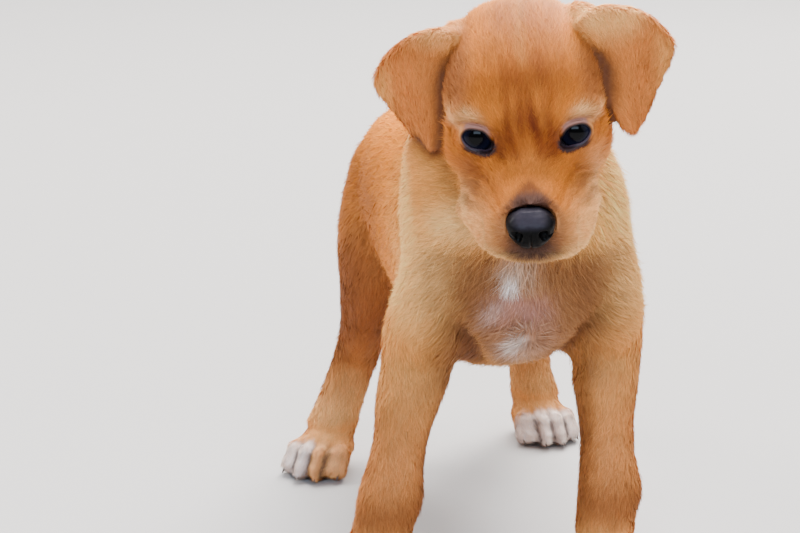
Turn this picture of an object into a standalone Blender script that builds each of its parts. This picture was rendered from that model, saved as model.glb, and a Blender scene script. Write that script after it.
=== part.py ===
"""A young short-coated puppy with folded ears, standing with its head lowered: a still, life-size model.

The body is built whole from lofted and rounded forms, melted together with a voxel remesh, reduced to
flat faces, and then parted with thin cuts into head, jaw, nose, ears, eyes, neck, trunk, tail, legs and
paws. Metres, +Z up. The puppy faces -Y, so +X is its left side, and it stands on the plane Z = 0.
"""

import math

import bmesh
import bpy
from mathutils import Matrix, Vector

MM = 0.001


def mm(x, y, z):
    """A point or a size given in millimetres."""
    return Vector((x, y, z)) * MM


# ---------------------------------------------------------------- driving dimensions

CUT = 0.8 * MM  # gap left by every parting cut
FIT = 0.3 * MM  # gap around an eye, the nose and the root of an ear
MELT = 1.6 * MM  # voxel of the final remesh
CORE_MELT = 3.0 * MM  # voxel of the trunk, neck and upper legs, which are melted softer
RING_SIDES = 28
SIDES = {"left": 1, "right": -1}

# Triangles each piece is reduced to before its fine cuts
TRIANGLES = {"head": 1800, "neck": 320, "trunk": 1060, "tail": 200, "leg": 340, "paw": 370, "ear": 390, "nose": 220}

# Head. Its own frame has the origin midway between the eyes, -Y along the muzzle and +Z to the crown.
HEAD_PLACE = mm(-10, -115.5, 243)
HEAD_PITCH = math.radians(24)  # muzzle down
HEAD_YAW = math.radians(-15)  # face turned to the puppy's right
HEAD_ROLL = math.radians(-3.7)
EYE_RADIUS = 9.8 * MM
EYE_PLACE = mm(24.3, 8.0, -2.9)  # of the left eyeball
LID_RADIUS = 11.8 * MM
EYE_OPENING = mm(17.4, 0, 11.0)
EYE_SLANT = math.radians(13)
NOSE_PLACE = mm(0, -42.5, -22)
EAR_THICKNESS = 5 * MM
EAR_DROOP = math.radians(8)  # the right ear hangs lower than the left by this turn and this drop
EAR_DROP = 7 * MM

# Trunk and tail
TAIL_ROOT = mm(2, 134, 210)
TAIL_LENGTH = 126 * MM

# Where the legs stand: middle of each paw on the floor, and how far the toes turn out
PAWS = {
    "front_left": (mm(40, -110, 0), math.radians(-2)),
    "front_right": (mm(-83, -97, 0), math.radians(-20)),
    "hind_left": (mm(79, 126, 0), math.radians(2)),
    "hind_right": (mm(-70, 97, 0), math.radians(-35)),
}
FRONT_JOINTS = {
    "left": {"shoulder": mm(44, -76, 166), "elbow": mm(54, -60, 119), "wrist": mm(45, -97, 48)},
    "right": {"shoulder": mm(-41, -74, 166), "elbow": mm(-51, -58, 120), "wrist": mm(-73, -87, 49)},
}
HIND_JOINTS = {
    "left": {"hip": mm(34, 98, 180), "knee": mm(49, 76, 126), "hock": mm(75, 147, 62)},
    "right": {"hip": mm(-33, 96, 180), "knee": mm(-44, 68, 126), "hock": mm(-45, 118, 64)},
}
PAW_LENGTH = 47 * MM
PAW_WIDTH = 42 * MM
CLAW_LENGTH = 7 * MM


COLOURS = {
    "coat": ((0.46, 0.23, 0.10), 0.85),
    "ear": ((0.40, 0.19, 0.08), 0.85),
    "nose": ((0.015, 0.014, 0.016), 0.35),
    "eye": ((0.02, 0.012, 0.01), 0.08),
}


# ---------------------------------------------------------------- modelling helpers


def clear_scene():
    for obj in list(bpy.data.objects):
        bpy.data.objects.remove(obj)


def link(name, mesh):
    obj = bpy.data.objects.new(name, mesh)
    bpy.context.scene.collection.objects.link(obj)
    return obj


def object_from(name, bm):
    bmesh.ops.recalc_face_normals(bm, faces=bm.faces)
    mesh = bpy.data.meshes.new(name)
    bm.to_mesh(mesh)
    bm.free()
    return link(name, mesh)


def ellipsoid(centre, radii, turn=None, detail=4):
    """A rounded mass of the given half sizes, turned by a rotation matrix."""
    bm = bmesh.new()
    bmesh.ops.create_icosphere(bm, subdivisions=detail, radius=1.0)
    place = Matrix.Translation(centre) @ (turn or Matrix()) @ Matrix.Diagonal((*radii, 1.0))
    bmesh.ops.transform(bm, matrix=place, verts=bm.verts)
    return object_from("mass", bm)


def between(points, t):
    """A point at t along a smooth curve through the points, which may hold any number of values each."""
    span = len(points) - 1
    i = min(int(t * span), span - 1)
    f = t * span - i
    a, b, c, d = (points[max(0, min(span, i + k))] for k in (-1, 0, 1, 2))
    return [
        0.5 * (2 * q + (r - p) * f + (2 * p - 5 * q + 4 * r - s) * f**2 + (3 * q - p - 3 * r + s) * f**3)
        for p, q, r, s in zip(a, b, c, d)
    ]


def ball(centre, radius):
    """A round ball, for the eyes and their sockets."""
    bm = bmesh.new()
    bmesh.ops.create_uvsphere(bm, u_segments=14, v_segments=9, radius=radius)
    bmesh.ops.translate(bm, verts=bm.verts, vec=centre)
    return object_from("ball", bm)


def loft(stations, square=2.0, steps=4, side=Vector((1, 0, 0)), sides=RING_SIDES):
    """A closed form through rings. A station is (centre, half width, half height); rings face along the path.
    square above 2 makes the rings boxier."""
    rows = [(*centre, width, height) for centre, width, height in stations]
    count = (len(rows) - 1) * steps
    path = [between(rows, i / count) for i in range(count + 1)]
    bm = bmesh.new()
    loops = []
    for i, (x, y, z, width, height) in enumerate(path):
        before, after = path[max(0, i - 1)], path[min(count, i + 1)]
        along = (Vector(after[:3]) - Vector(before[:3])).normalized()
        across = (side - along * side.dot(along)).normalized()
        up = along.cross(across)
        ring = []
        for k in range(sides):
            c, s = math.cos(math.tau * k / sides), math.sin(math.tau * k / sides)
            c = math.copysign(abs(c) ** (2 / square), c)
            s = math.copysign(abs(s) ** (2 / square), s)
            ring.append(bm.verts.new(Vector((x, y, z)) + across * max(width, MM) * c + up * max(height, MM) * s))
        loops.append([bm.edges.new((ring[k], ring[(k + 1) % sides])) for k in range(sides)])
    for first, second in zip(loops, loops[1:]):
        bmesh.ops.bridge_loops(bm, edges=first + second)
    for end in (loops[0], loops[-1]):
        bmesh.ops.edgeloop_fill(bm, edges=end)
    return object_from("loft", bm)


def sheet(rows, thickness, columns=10, steps=4):
    """A thin curved leaf through rows of points, with a rounded edge."""
    count = (len(rows) - 1) * steps
    bm = bmesh.new()
    grid = []
    for i in range(count + 1):
        line = [between([row[k] for row in rows], i / count) for k in range(len(rows[0]))]
        grid.append([bm.verts.new(between(line, j / columns)) for j in range(columns + 1)])
    for upper, lower in zip(grid, grid[1:]):
        for j in range(columns):
            bm.faces.new((upper[j], upper[j + 1], lower[j + 1], lower[j]))
    bmesh.ops.remove_doubles(bm, verts=bm.verts, dist=0.01 * MM)
    leaf = object_from("leaf", bm)
    solid = leaf.modifiers.new("thickness", "SOLIDIFY")
    solid.thickness = thickness
    solid.offset = 0
    rim = leaf.modifiers.new("rim", "BEVEL")
    rim.width = thickness * 0.4
    rim.segments = 2
    rim.limit_method = "ANGLE"
    return leaf


def mirrored(point, side):
    """A point given for the left side, on either side."""
    return Vector((point.x * side, point.y, point.z))


def place_all(objects, matrix):
    for obj in objects:
        obj.matrix_world = matrix @ obj.matrix_world
    return objects


def evaluated(obj):
    """The object's mesh with its modifiers and its place worked in."""
    bpy.context.view_layer.update()
    graph = bpy.context.evaluated_depsgraph_get()
    mesh = bpy.data.meshes.new_from_object(obj.evaluated_get(graph), depsgraph=graph)
    mesh.transform(obj.matrix_world)
    return mesh


def melt(name, objects, voxel, smoothing=0, strength=0.5):
    """One closed mesh around all the objects, which are used up, with its creases relaxed."""
    bm = bmesh.new()
    for obj in objects:
        mesh = evaluated(obj)
        bm.from_mesh(mesh)
        bpy.data.objects.remove(obj)
    mesh = bpy.data.meshes.new(name)
    bm.to_mesh(mesh)
    bm.free()
    whole = link(name, mesh)
    remesh = whole.modifiers.new("melt", "REMESH")
    remesh.mode = "VOXEL"
    remesh.voxel_size = voxel
    if smoothing:
        relax = whole.modifiers.new("relax", "SMOOTH")
        relax.factor = strength
        relax.iterations = smoothing
    return bake(whole)


def bake(obj):
    """Replaces the object's mesh with its evaluated one and drops its modifiers."""
    mesh = evaluated(obj)
    obj.modifiers.clear()
    obj.data = mesh
    obj.matrix_world = Matrix()
    return obj


def cut(obj, cutter, operation="DIFFERENCE", keep=False, solver="EXACT"):
    """Cuts the object with the cutter and works it in."""
    step = obj.modifiers.new("cut", "BOOLEAN")
    step.operation = operation
    step.object = cutter
    step.solver = solver
    bake(obj)
    if not keep:
        bpy.data.objects.remove(cutter)
    return obj


def box(low, high):
    bm = bmesh.new()
    size = Vector(high) - Vector(low)
    place = Matrix.Translation((Vector(high) + Vector(low)) / 2) @ Matrix.Diagonal((*size, 1.0))
    bmesh.ops.create_cube(bm, size=1.0, matrix=place)
    return object_from("box", bm)


# ---------------------------------------------------------------- head


def head_matrix():
    turn = (
        Matrix.Rotation(HEAD_YAW, 4, "Z")
        @ Matrix.Rotation(HEAD_PITCH, 4, "X")
        @ Matrix.Rotation(HEAD_ROLL, 4, "Y")
    )
    return Matrix.Translation(HEAD_PLACE) @ turn


def skull():
    """The domed cranium, as rings from the brow back to the occiput: (y, middle z, half width, half height)."""
    rings = [
        (-7, -15, 24, 15),
        (3, -9, 33, 25),
        (14, -5, 38.5, 34),
        (28, 0, 42, 39),
        (42, 3, 43, 41.5),
        (57, 4, 41.5, 41.5),
        (71, 5, 36, 35),
        (84, 6, 25, 23),
        (91, 6, 9, 8),
    ]
    return loft([(mm(0, y, z), w * MM, h * MM) for y, z, w, h in rings], square=2.3)


def muzzle():
    """The bridge, the lip pads, the flews, the cheeks, the brows and the mass around each eye."""
    bridge = [
        (-44, -22.5, 12.0, 11.0),
        (-32, -22, 17.5, 13.0),
        (-16, -20.5, 20.5, 15),
        (0, -13.5, 27, 18.5),
        (12, -8, 34, 22),
    ]
    parts = [loft([(mm(0, y, z), w * MM, h * MM) for y, z, w, h in bridge], square=2.3)]
    for s in SIDES.values():
        parts.append(ellipsoid(mm(11.5 * s, -28, -28.5), mm(14, 15.5, 12.5)))
        parts.append(ellipsoid(mm(16 * s, -12, -29.5), mm(16, 23, 15)))
        parts.append(ellipsoid(mm(18 * s, 24, -16), mm(26, 34, 26)))
        parts.append(ellipsoid(mm(18 * s, 6, -31), mm(20.5, 27, 16)))
        parts.append(ellipsoid(mm(22.5 * s, 7, 10), mm(15, 9.5, 8.5)))
        parts.append(ellipsoid(mirrored(EYE_PLACE, s), Vector([LID_RADIUS] * 3)))
    return parts


def chin():
    rings = [
        (-42, -41, 9, 4.0),
        (-37, -41, 16, 6.4),
        (-24, -40, 23, 8.5),
        (-8, -38, 28, 10.5),
        (14, -33, 30, 15),
        (34, -26, 29, 18),
    ]
    return loft([(mm(0, y, z), w * MM, h * MM) for y, z, w, h in rings], square=2.3)


def ear(side):
    """A folded ear: it rises from the side of the crown to a crest, and its flap hangs forward past the temple.
    Rows run from the root to the tip, each from the inner edge to the outer one."""
    rows = [
        [(22, 37, 33), (30, 50, 30), (36, 60, 18), (40, 66, 4)],
        [(27, 38, 38), (38, 49, 41), (49, 59, 30), (55, 64, 11)],
        [(33, 40, 41), (50, 47, 42), (66, 56, 30), (76, 62, 12)],
        [(35, 38, 29), (52, 43, 31), (67, 52, 19), (77, 58, 6)],
        [(39, 31, 19), (52, 35, 17), (63, 44, 8), (72, 51, -1)],
        [(42, 24, 10), (51, 28, 6), (60, 36, -1), (67, 43, -7)],
        [(45, 18, 0), (51, 20, -3), (57, 26, -10), (61, 32, -14)],
        [(49, 15, -8), (51, 16, -10), (54, 18, -12), (57, 21, -12)],
    ]
    leaf = sheet([[mm(x * side, y, z) for x, y, z in row] for row in rows], EAR_THICKNESS)
    root = ellipsoid(mm(32 * side, 51, 32), mm(13, 14, 11.5))
    if side < 0:
        pivot = mm(-35, 45, 40)
        droop = Matrix.Rotation(-EAR_DROOP, 4, "Y")
        lower = Matrix.Translation(pivot - Vector((MM, 0, EAR_DROP))) @ droop @ Matrix.Translation(-pivot)
        place_all([leaf, root], lower)
    return leaf, root


def nose_leather():
    """The nose: broad above, narrower below, standing a little proud of the lip pads."""
    rings = [
        (-12, 6.8, 4.0),
        (-8, 9.4, 7.4),
        (-2, 12.2, 9.8),
        (4, 12.6, 9.0),
        (7.5, 10.2, 6.4),
        (10, 5.5, 2.8),
    ]
    form = loft([(mm(0, -2.0 + 0.18 * z, z), w * MM, d * MM) for z, w, d in rings], square=2.6)
    form.matrix_world = Matrix.Translation(NOSE_PLACE)
    return melt("nose", [form], 0.9 * MM, smoothing=2)


def nostril(side):
    turn = Matrix.Rotation(math.radians(-38 * side), 4, "Y")
    return ellipsoid(NOSE_PLACE + mm(6.6 * side, -11.6, -1.0), mm(2.1, 3.6, 2.9), turn, detail=1)


def eye_opening(side):
    """The almond between the lids, as a prism along the line of sight."""
    bm = bmesh.new()
    outline = []
    for k in range(14):
        a = math.tau * k / 14
        rise = math.copysign(EYE_OPENING.z / 2 * abs(math.sin(a)) ** 1.2, math.sin(a))
        outline.append(bm.verts.new((EYE_OPENING.x / 2 * math.cos(a), -30 * MM, rise)))
    face = bm.faces.new(outline)
    moved = bmesh.ops.extrude_face_region(bm, geom=[face])["geom"]
    bmesh.ops.translate(bm, verts=[v for v in moved if isinstance(v, bmesh.types.BMVert)], vec=mm(0, 29, 0))
    prism_object = object_from("almond", bm)
    prism_object.matrix_world = (
        Matrix.Translation(mirrored(EYE_PLACE - mm(0.6, 0, 0), side))
        @ Matrix.Rotation(math.radians(4 * side), 4, "Z")
        @ Matrix.Rotation(math.radians(-28), 4, "X")
        @ Matrix.Rotation(-EYE_SLANT * side, 4, "Y")
    )
    return prism_object


# ---------------------------------------------------------------- trunk, neck and tail


def trunk():
    """Rings across the spine from the breastbone to the buttocks: (y, middle z, half width, half height)."""
    rings = [
        (-104, 157, 14, 14),
        (-97, 158, 35, 34),
        (-83, 163, 49, 57),
        (-58, 171, 57, 72),
        (-26, 175, 58, 74),
        (10, 177, 58, 71),
        (45, 180, 57, 62),
        (75, 181, 54, 55),
        (102, 184, 49, 49),
        (127, 188, 42, 38),
        (145, 190, 28, 25),
        (153, 190, 10, 9),
    ]
    return loft([(mm(2, y, z), w * MM, h * MM) for y, z, w, h in rings], square=2.15)


def neck():
    start = head_matrix() @ mm(0, 40, -4)
    nape = head_matrix() @ mm(0, 66, -6)
    stations = [
        (start, 31 * MM, 30 * MM),
        (nape, 38 * MM, 29 * MM),
        (mm(-4, -54, 236), 50 * MM, 36 * MM),
        (mm(0, -48, 206), 58 * MM, 45 * MM),
        (mm(2, -36, 172), 56 * MM, 46 * MM),
    ]
    scruff = ellipsoid(mm(-3, -18, 238), mm(39, 58, 27), Matrix.Rotation(math.radians(-27), 4, "X"))
    return loft(stations, square=2.1), scruff


def tail():
    """It slopes back from the croup and then hangs in a slack curve, thick at the root."""
    point = TAIL_ROOT
    stations = []
    for k in range(7):
        t = k / 6
        fall = math.radians(12 + 60 * min(1.0, 1.5 * t))
        if k:
            point = point + Vector((0.03, math.cos(fall), -math.sin(fall))) * TAIL_LENGTH / 6
        radius = (12.5 - 6.5 * t) * MM
        stations.append((point.copy(), radius, radius))
    tip = point + mm(0, 2, -4)
    return loft(stations + [(tip, 2.5 * MM, 2.5 * MM)], steps=3)


# ---------------------------------------------------------------- legs


def limb(points, side=Vector((1, 0, 0))):
    """A limb segment through (centre, half width, half depth) stations, in metres and millimetres."""
    return loft([(centre, w * MM, d * MM) for centre, w, d in points], square=2.1, side=side)


def lean(a, b, t):
    return a + (b - a) * t


def front_leg(side_name):
    joints = FRONT_JOINTS[side_name]
    s = SIDES[side_name]
    shoulder, elbow, wrist = joints["shoulder"], joints["elbow"], joints["wrist"]
    foot, turn = PAWS["front_" + side_name]
    ankle = foot + Matrix.Rotation(turn, 3, "Z") @ mm(0, 5, 21)
    blade = ellipsoid(shoulder + mm(-5 * s, 14, 22), mm(24, 32, 50), Matrix.Rotation(math.radians(-18), 4, "X"))
    upper = limb(
        [
            (shoulder + mm(-6 * s, 8, 26), 20, 27),
            (lean(shoulder, elbow, 0.25), 21.5, 28),
            (lean(shoulder, elbow, 0.8), 21.5, 24),
            (elbow + mm(0, -2, -6), 20.5, 21),
            (lean(elbow, wrist, 0.38), 18.4, 18.5),
            (lean(elbow, wrist, 0.72), 16.2, 15.5),
            (wrist + mm(0, 0, 2), 17.6, 16.5),
            (lean(wrist, ankle, 0.5), 16.8, 15.5),
            (ankle, 18, 16.5),
        ]
    )
    point = ellipsoid(elbow + mm(1 * s, 12, 2), mm(11, 11, 14))
    return blade, upper, point


def hind_leg(side_name):
    joints = HIND_JOINTS[side_name]
    s = SIDES[side_name]
    hip, knee, hock = joints["hip"], joints["knee"], joints["hock"]
    foot, turn = PAWS["hind_" + side_name]
    ankle = foot + Matrix.Rotation(turn, 3, "Z") @ mm(0, 8, 21)
    across = (Matrix.Rotation(turn * 0.7, 3, "Z") @ Vector((1, 0, 0))).normalized()
    haunch = ellipsoid(hip + mm(0, 5, -14), mm(21, 38, 46), Matrix.Rotation(math.radians(14), 4, "X"))
    thigh = limb(
        [
            (hip + mm(0, 8, -8), 22, 39),
            (lean(hip, knee, 0.5) + mm(0, 11, 0), 22, 40),
            (knee + mm(0, 14, 4), 19, 31),
            (lean(knee, hock, 0.42) + mm(0, 2, 3), 16, 21),
            (lean(knee, hock, 0.82), 14, 13.5),
        ]
    )
    shank = limb(
        [
            (lean(knee, hock, 0.6), 14.4, 14.5),
            (hock + mm(0, -2, 2), 15, 13.5),
            (lean(hock, ankle, 0.45), 15, 13),
            (lean(hock, ankle, 0.8), 16.4, 14),
            (ankle, 18, 16),
        ],
        side=across,
    )
    heel = ellipsoid(hock + mm(0, 7, 5), mm(9, 8.5, 10))
    return haunch, thigh, shank, heel


# Toes of a paw: (place across, place along, how far it turns out), in shares of the paw's half size
TOES = ((-0.68, -0.30, -14), (-0.24, -0.62, -4), (0.24, -0.62, 4), (0.68, -0.30, 14))


def paw_frame(name):
    foot, turn = PAWS[name]
    return Matrix.Translation(foot) @ Matrix.Rotation(turn, 4, "Z")


def paw(name):
    """The foot: a low rounded body, four knuckled toes and the heel pad under it."""
    frame = paw_frame(name)
    half = PAW_WIDTH / 2
    reach = PAW_LENGTH / 2
    parts = [
        ellipsoid(mm(0, 4, 14), Vector((half * 0.84, reach * 0.80, 14 * MM))),
        ellipsoid(mm(0, 8, 4), mm(12, 10, 6)),
    ]
    for across, along, out in TOES:
        turn = Matrix.Rotation(math.radians(out), 4, "Z")
        knuckle = Vector((half * across, reach * along, 12.5 * MM))
        tip = knuckle + turn.to_3x3() @ mm(0, -7.0, -5.5)
        parts.append(ellipsoid(knuckle, mm(6.4, 9.5, 8.2), turn @ Matrix.Rotation(math.radians(-24), 4, "X")))
        parts.append(ellipsoid(tip, mm(6.0, 7.5, 6.8), turn))
    return place_all(parts, frame)


def claws(name):
    """Short blunt claws, one on each toe."""
    made = []
    for across, along, out in TOES:
        turn = Matrix.Rotation(math.radians(out), 4, "Z")
        knuckle = Vector((PAW_WIDTH / 2 * across, PAW_LENGTH / 2 * along, 12.5 * MM))
        root = knuckle + turn.to_3x3() @ mm(0, -12.5, -5.5)
        bm = bmesh.new()
        bmesh.ops.create_cone(bm, cap_ends=True, segments=6, radius1=1.9 * MM, radius2=0.6 * MM, depth=CLAW_LENGTH)
        nail = object_from("claw", bm)
        nail.matrix_world = Matrix.Translation(root) @ turn @ Matrix.Rotation(math.radians(116), 4, "X")
        made.append(nail)
    return place_all(made, paw_frame(name))


# ---------------------------------------------------------------- the whole body


def core_body():
    """Trunk, neck and the fleshy upper legs, melted softly so that the limbs flow into the body."""
    parts = [trunk(), *neck()]
    for side in SIDES:
        parts += front_leg(side)
        parts += hind_leg(side)
    return melt("core", parts, CORE_MELT, smoothing=24)


def head_form():
    """The head in its own frame, without its ears."""
    return melt("face", [skull(), chin()] + muzzle(), 1.5 * MM, smoothing=18)


def whole_body():
    parts = [core_body(), tail()] + place_all([head_form()], head_matrix())
    for name in PAWS:
        parts += paw(name)
    body = melt("body", parts, MELT, smoothing=3)
    thin = body.modifiers.new("facets", "DECIMATE")
    thin.ratio = 0.2
    return bake(body)


# ---------------------------------------------------------------- parting


def prism(outline, frame=None, reach=140 * MM):
    """A solid between the points of an outline in the Y-Z plane, drawn out sideways."""
    bm = bmesh.new()
    face = bm.faces.new([bm.verts.new((-reach, y * MM, z * MM)) for y, z in outline])
    moved = bmesh.ops.extrude_face_region(bm, geom=[face])["geom"]
    bmesh.ops.translate(bm, verts=[v for v in moved if isinstance(v, bmesh.types.BMVert)], vec=(2 * reach, 0, 0))
    region = object_from("region", bm)
    region.matrix_world = frame or Matrix()
    return region


def sleeve(stations):
    """A faceted sleeve around a limb, wider than the limb: (centre, half width, half depth) stations."""
    return loft([(centre, w * MM, d * MM) for centre, w, d in stations], steps=1, sides=12)


def grown(obj, distance):
    """A copy of a solid with its surface moved out evenly."""
    mesh = evaluated(obj)
    bm = bmesh.new()
    bm.from_mesh(mesh)
    bmesh.ops.recalc_face_normals(bm, faces=bm.faces)
    bm.normal_update()
    places = [v.co + v.normal * distance * min(v.calc_shell_factor(), 2.0) for v in bm.verts]
    for vert, place in zip(bm.verts, places):
        vert.co = place
    bm.to_mesh(mesh)
    bm.free()
    return link("grown", mesh)


def part_off(body, region, name):
    """Takes the share of the body inside the region off as a piece of its own, leaving a thin gap.
    The body is dense and closed, and the exact solver loses track of it after a few such cuts."""
    finer = region.modifiers.new("finer faces", "SUBSURF")
    finer.subdivision_type = "SIMPLE"
    finer.levels = finer.render_levels = 4
    bake(region)
    piece = link(name, body.data.copy())
    cut(piece, region, "INTERSECT", keep=True, solver="MANIFOLD")
    cut(body, grown(region, CUT), solver="MANIFOLD")
    bpy.data.objects.remove(region)
    return piece


def only_largest(obj):
    """Drops stray crumbs left by a cut."""
    bm = bmesh.new()
    bm.from_mesh(obj.data)
    left = set(bm.verts)
    islands = []
    while left:
        stack = [left.pop()]
        island = set(stack)
        while stack:
            for edge in stack.pop().link_edges:
                for vert in edge.verts:
                    if vert not in island:
                        island.add(vert)
                        left.discard(vert)
                        stack.append(vert)
        islands.append(island)
    islands.sort(key=len)
    for island in islands[:-1]:
        bmesh.ops.delete(bm, geom=list(island), context="VERTS")
    bm.to_mesh(obj.data)
    bm.free()
    return obj


def tidy(obj, distance=0.02 * MM):
    """Merges coincident corners, drops flat slivers and leaves plain triangles."""
    only_largest(obj)
    bm = bmesh.new()
    bm.from_mesh(obj.data)
    bmesh.ops.remove_doubles(bm, verts=bm.verts, dist=distance)
    bmesh.ops.dissolve_degenerate(bm, edges=bm.edges, dist=distance)
    bmesh.ops.triangulate(bm, faces=bm.faces)
    closed = all(len(edge.link_faces) == 2 for edge in bm.edges)
    bm.to_mesh(obj.data)
    bm.free()
    return closed


def even(obj):
    """Rebuilds a piece with an even closed surface, free of the slivers that its cuts have left."""
    step = obj.modifiers.new("even", "REMESH")
    step.mode = "VOXEL"
    step.voxel_size = 1.3 * MM
    return bake(obj)


def reduce(obj, kind):
    """Brings a piece down to its share of triangles, trying again until its surface is closed."""
    dense = obj.data
    for merge in (0.05 * MM, 0.12 * MM, 0.02 * MM, 0.005 * MM, 0.0):
        obj.data = dense.copy()
        if not merge:
            even(only_largest(obj))
        if not tidy(obj, merge):
            continue
        clean = obj.data
        for attempt in range(5):
            obj.data = clean.copy()
            thin = obj.modifiers.new("facets", "DECIMATE")
            thin.ratio = min(1.0, TRIANGLES[kind] * (1 + 0.01 * attempt) / len(clean.polygons))
            bake(obj)
            if tidy(obj):
                return obj
    raise RuntimeError(f"{obj.name} can't be reduced cleanly")


def part_legs(body):
    """Paws first, with a level cut; then each leg below the body, inside a sleeve."""
    pieces = {}
    for name, (foot, _turn) in PAWS.items():
        high = 31 if name.startswith("front") else 29
        region = box(foot + mm(-45, -45, -20), foot + mm(45, 45, high))
        pieces["paw_" + name] = part_off(body, region, "paw_" + name)
    for side in SIDES:
        shoulder, elbow, wrist = (FRONT_JOINTS[side][key] for key in ("shoulder", "elbow", "wrist"))
        foot = PAWS["front_" + side][0]
        arm = [(foot + mm(0, 0, 6), 34, 34), (wrist, 31, 31), (elbow + mm(0, 0, -12), 28, 29)]
        arm.append((lean(elbow, shoulder, 0.3), 28, 30))
        pieces["leg_front_" + side] = part_off(body, sleeve(arm), "leg_front_" + side)
    for side in SIDES:
        hip, knee, hock = (HIND_JOINTS[side][key] for key in ("hip", "knee", "hock"))
        foot = PAWS["hind_" + side][0]
        shin = [(foot + mm(0, 6, 4), 34, 34), (hock, 27, 27), (lean(knee, hock, 0.45), 27, 30)]
        shin += [(knee + mm(0, 8, 4), 27, 38), (lean(knee, hip, 0.45) + mm(0, 8, 0), 29, 46)]
        pieces["leg_hind_" + side] = part_off(body, sleeve(shin), "leg_hind_" + side)
    return pieces


def part_head(body):
    """The head from the nape to the throat, and the neck from there to the withers."""
    head_region = prism([(-75, -52.5), (-5, -52.5), (88, 8), (130, 35), (110, 110), (-75, 110)], head_matrix())
    head = part_off(body, head_region, "head")
    neck_region = prism([(-150, 168), (-108, 165), (-15, 252), (20, 285), (0, 330), (-150, 330)])
    return {"head": head, "neck": part_off(body, neck_region, "neck")}


def fit_face(head):
    """Sockets, lids, mouth and nose pocket, and the pieces that fill them."""
    place = head_matrix()
    pieces = {}
    mouth = prism([(-70, -38.5), (-26, -41), (-6, -38), (24, -62), (-70, -62)], place)
    pieces["lower_jaw"] = part_off(head, mouth, "lower_jaw")
    for side, s in SIDES.items():
        centre = place @ mirrored(EYE_PLACE, s)
        pieces["eye_" + side] = ball(centre, EYE_RADIUS)
        cut(head, ball(centre, EYE_RADIUS + FIT))
        cut(head, place_all([eye_opening(s)], place)[0])
    nose = reduce(nose_leather(), "nose")
    for s in SIDES.values():
        cut(nose, nostril(s))
    pieces["nose"] = bake(place_all([nose], place)[0])
    cut(head, grown(pieces["nose"], FIT))
    return pieces


def fit_ears(head):
    """Each ear is trimmed to the surface of the head."""
    pieces = {}
    for side, s in SIDES.items():
        flap = melt("flap", place_all(ear(s), head_matrix()), 1.2 * MM, smoothing=4)
        reduce(flap, "ear")
        cut(flap, grown(head, FIT))
        pieces["ear_" + side] = flap
    return pieces


def paint(obj, kind):
    """Each piece has its own plain material, and is shaded smooth up to its real edges."""
    obj.data.shade_smooth()
    obj.data.set_sharp_from_angle(angle=math.radians(55))
    colour, roughness = COLOURS.get(kind, COLOURS["coat"])
    material = bpy.data.materials.new(obj.name)
    material.use_nodes = True
    shader = material.node_tree.nodes["Principled BSDF"]
    shader.inputs["Base Color"].default_value = (*colour, 1.0)
    shader.inputs["Roughness"].default_value = roughness
    obj.data.materials.clear()
    obj.data.materials.append(material)


def stand_on_origin(pieces):
    """Moves the whole so that the middle of its bounding box's base is the origin."""
    corners = [vert.co for piece in pieces for vert in piece.data.vertices]
    low = Vector(min(co[k] for co in corners) for k in range(3))
    high = Vector(max(co[k] for co in corners) for k in range(3))
    shift = Vector((-(low.x + high.x) / 2, -(low.y + high.y) / 2, -low.z))
    for piece in pieces:
        piece.data.transform(Matrix.Translation(shift))


def main():
    clear_scene()
    body = whole_body()
    pieces = part_legs(body)
    tail_region = prism([(154, 188), (163, 218), (235, 218), (235, 60), (165, 60), (158, 178)])
    pieces["tail"] = part_off(body, tail_region, "tail")
    pieces.update(part_head(body))
    pieces["trunk"] = body
    for name, piece in pieces.items():
        reduce(piece, name.split("_")[0])
    for name in PAWS:
        foot = pieces["paw_" + name]
        for nail in claws(name):
            cut(foot, nail, "UNION")
        cut(foot, box(mm(-200, -200, -30), mm(200, 200, 0)))
    pieces.update(fit_ears(pieces["head"]))
    pieces.update(fit_face(pieces["head"]))
    for name, piece in pieces.items():
        tidy(piece)
        piece.name = name
        piece.data.name = name
        paint(piece, name.split("_")[0])
    stand_on_origin(pieces.values())


main()
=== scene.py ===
"""A tan puppy standing with its head lowered: hide, lids, eyes, nose leather, claws and coat.

The hide is one surface made from the flesh solids and lies under them by the depth of the coat. The coat is
made of thin tapered tufts rooted in the hide, which follow the lie of the hair.
"""

import math

import bmesh
import bpy
import numpy as np
from mathutils import Matrix, Vector
from mathutils.bvhtree import BVHTree


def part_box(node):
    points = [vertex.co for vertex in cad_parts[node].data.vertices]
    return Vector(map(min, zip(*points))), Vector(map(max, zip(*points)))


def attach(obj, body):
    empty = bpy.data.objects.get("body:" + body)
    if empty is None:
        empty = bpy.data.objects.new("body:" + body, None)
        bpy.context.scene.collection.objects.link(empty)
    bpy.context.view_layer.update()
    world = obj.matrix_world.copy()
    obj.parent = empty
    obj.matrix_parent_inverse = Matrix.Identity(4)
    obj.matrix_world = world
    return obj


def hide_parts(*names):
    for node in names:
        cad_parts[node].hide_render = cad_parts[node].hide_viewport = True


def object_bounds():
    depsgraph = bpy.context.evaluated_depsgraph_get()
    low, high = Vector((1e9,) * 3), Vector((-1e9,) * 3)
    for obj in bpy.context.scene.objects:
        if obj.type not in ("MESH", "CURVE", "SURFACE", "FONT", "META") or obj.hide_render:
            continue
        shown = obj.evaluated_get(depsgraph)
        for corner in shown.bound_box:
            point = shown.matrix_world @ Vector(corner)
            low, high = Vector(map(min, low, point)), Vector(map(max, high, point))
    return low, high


bl_info = {
    "name": "Short-coated puppy",
    "version": (1, 0, 0),
    "blender": (4, 5, 0),
    "location": "3D View > Sidebar > Puppy",
    "description": "Hide, coat, eyes, nose, claws and a plain stage for a standing puppy",
    "category": "Object",
}

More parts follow.
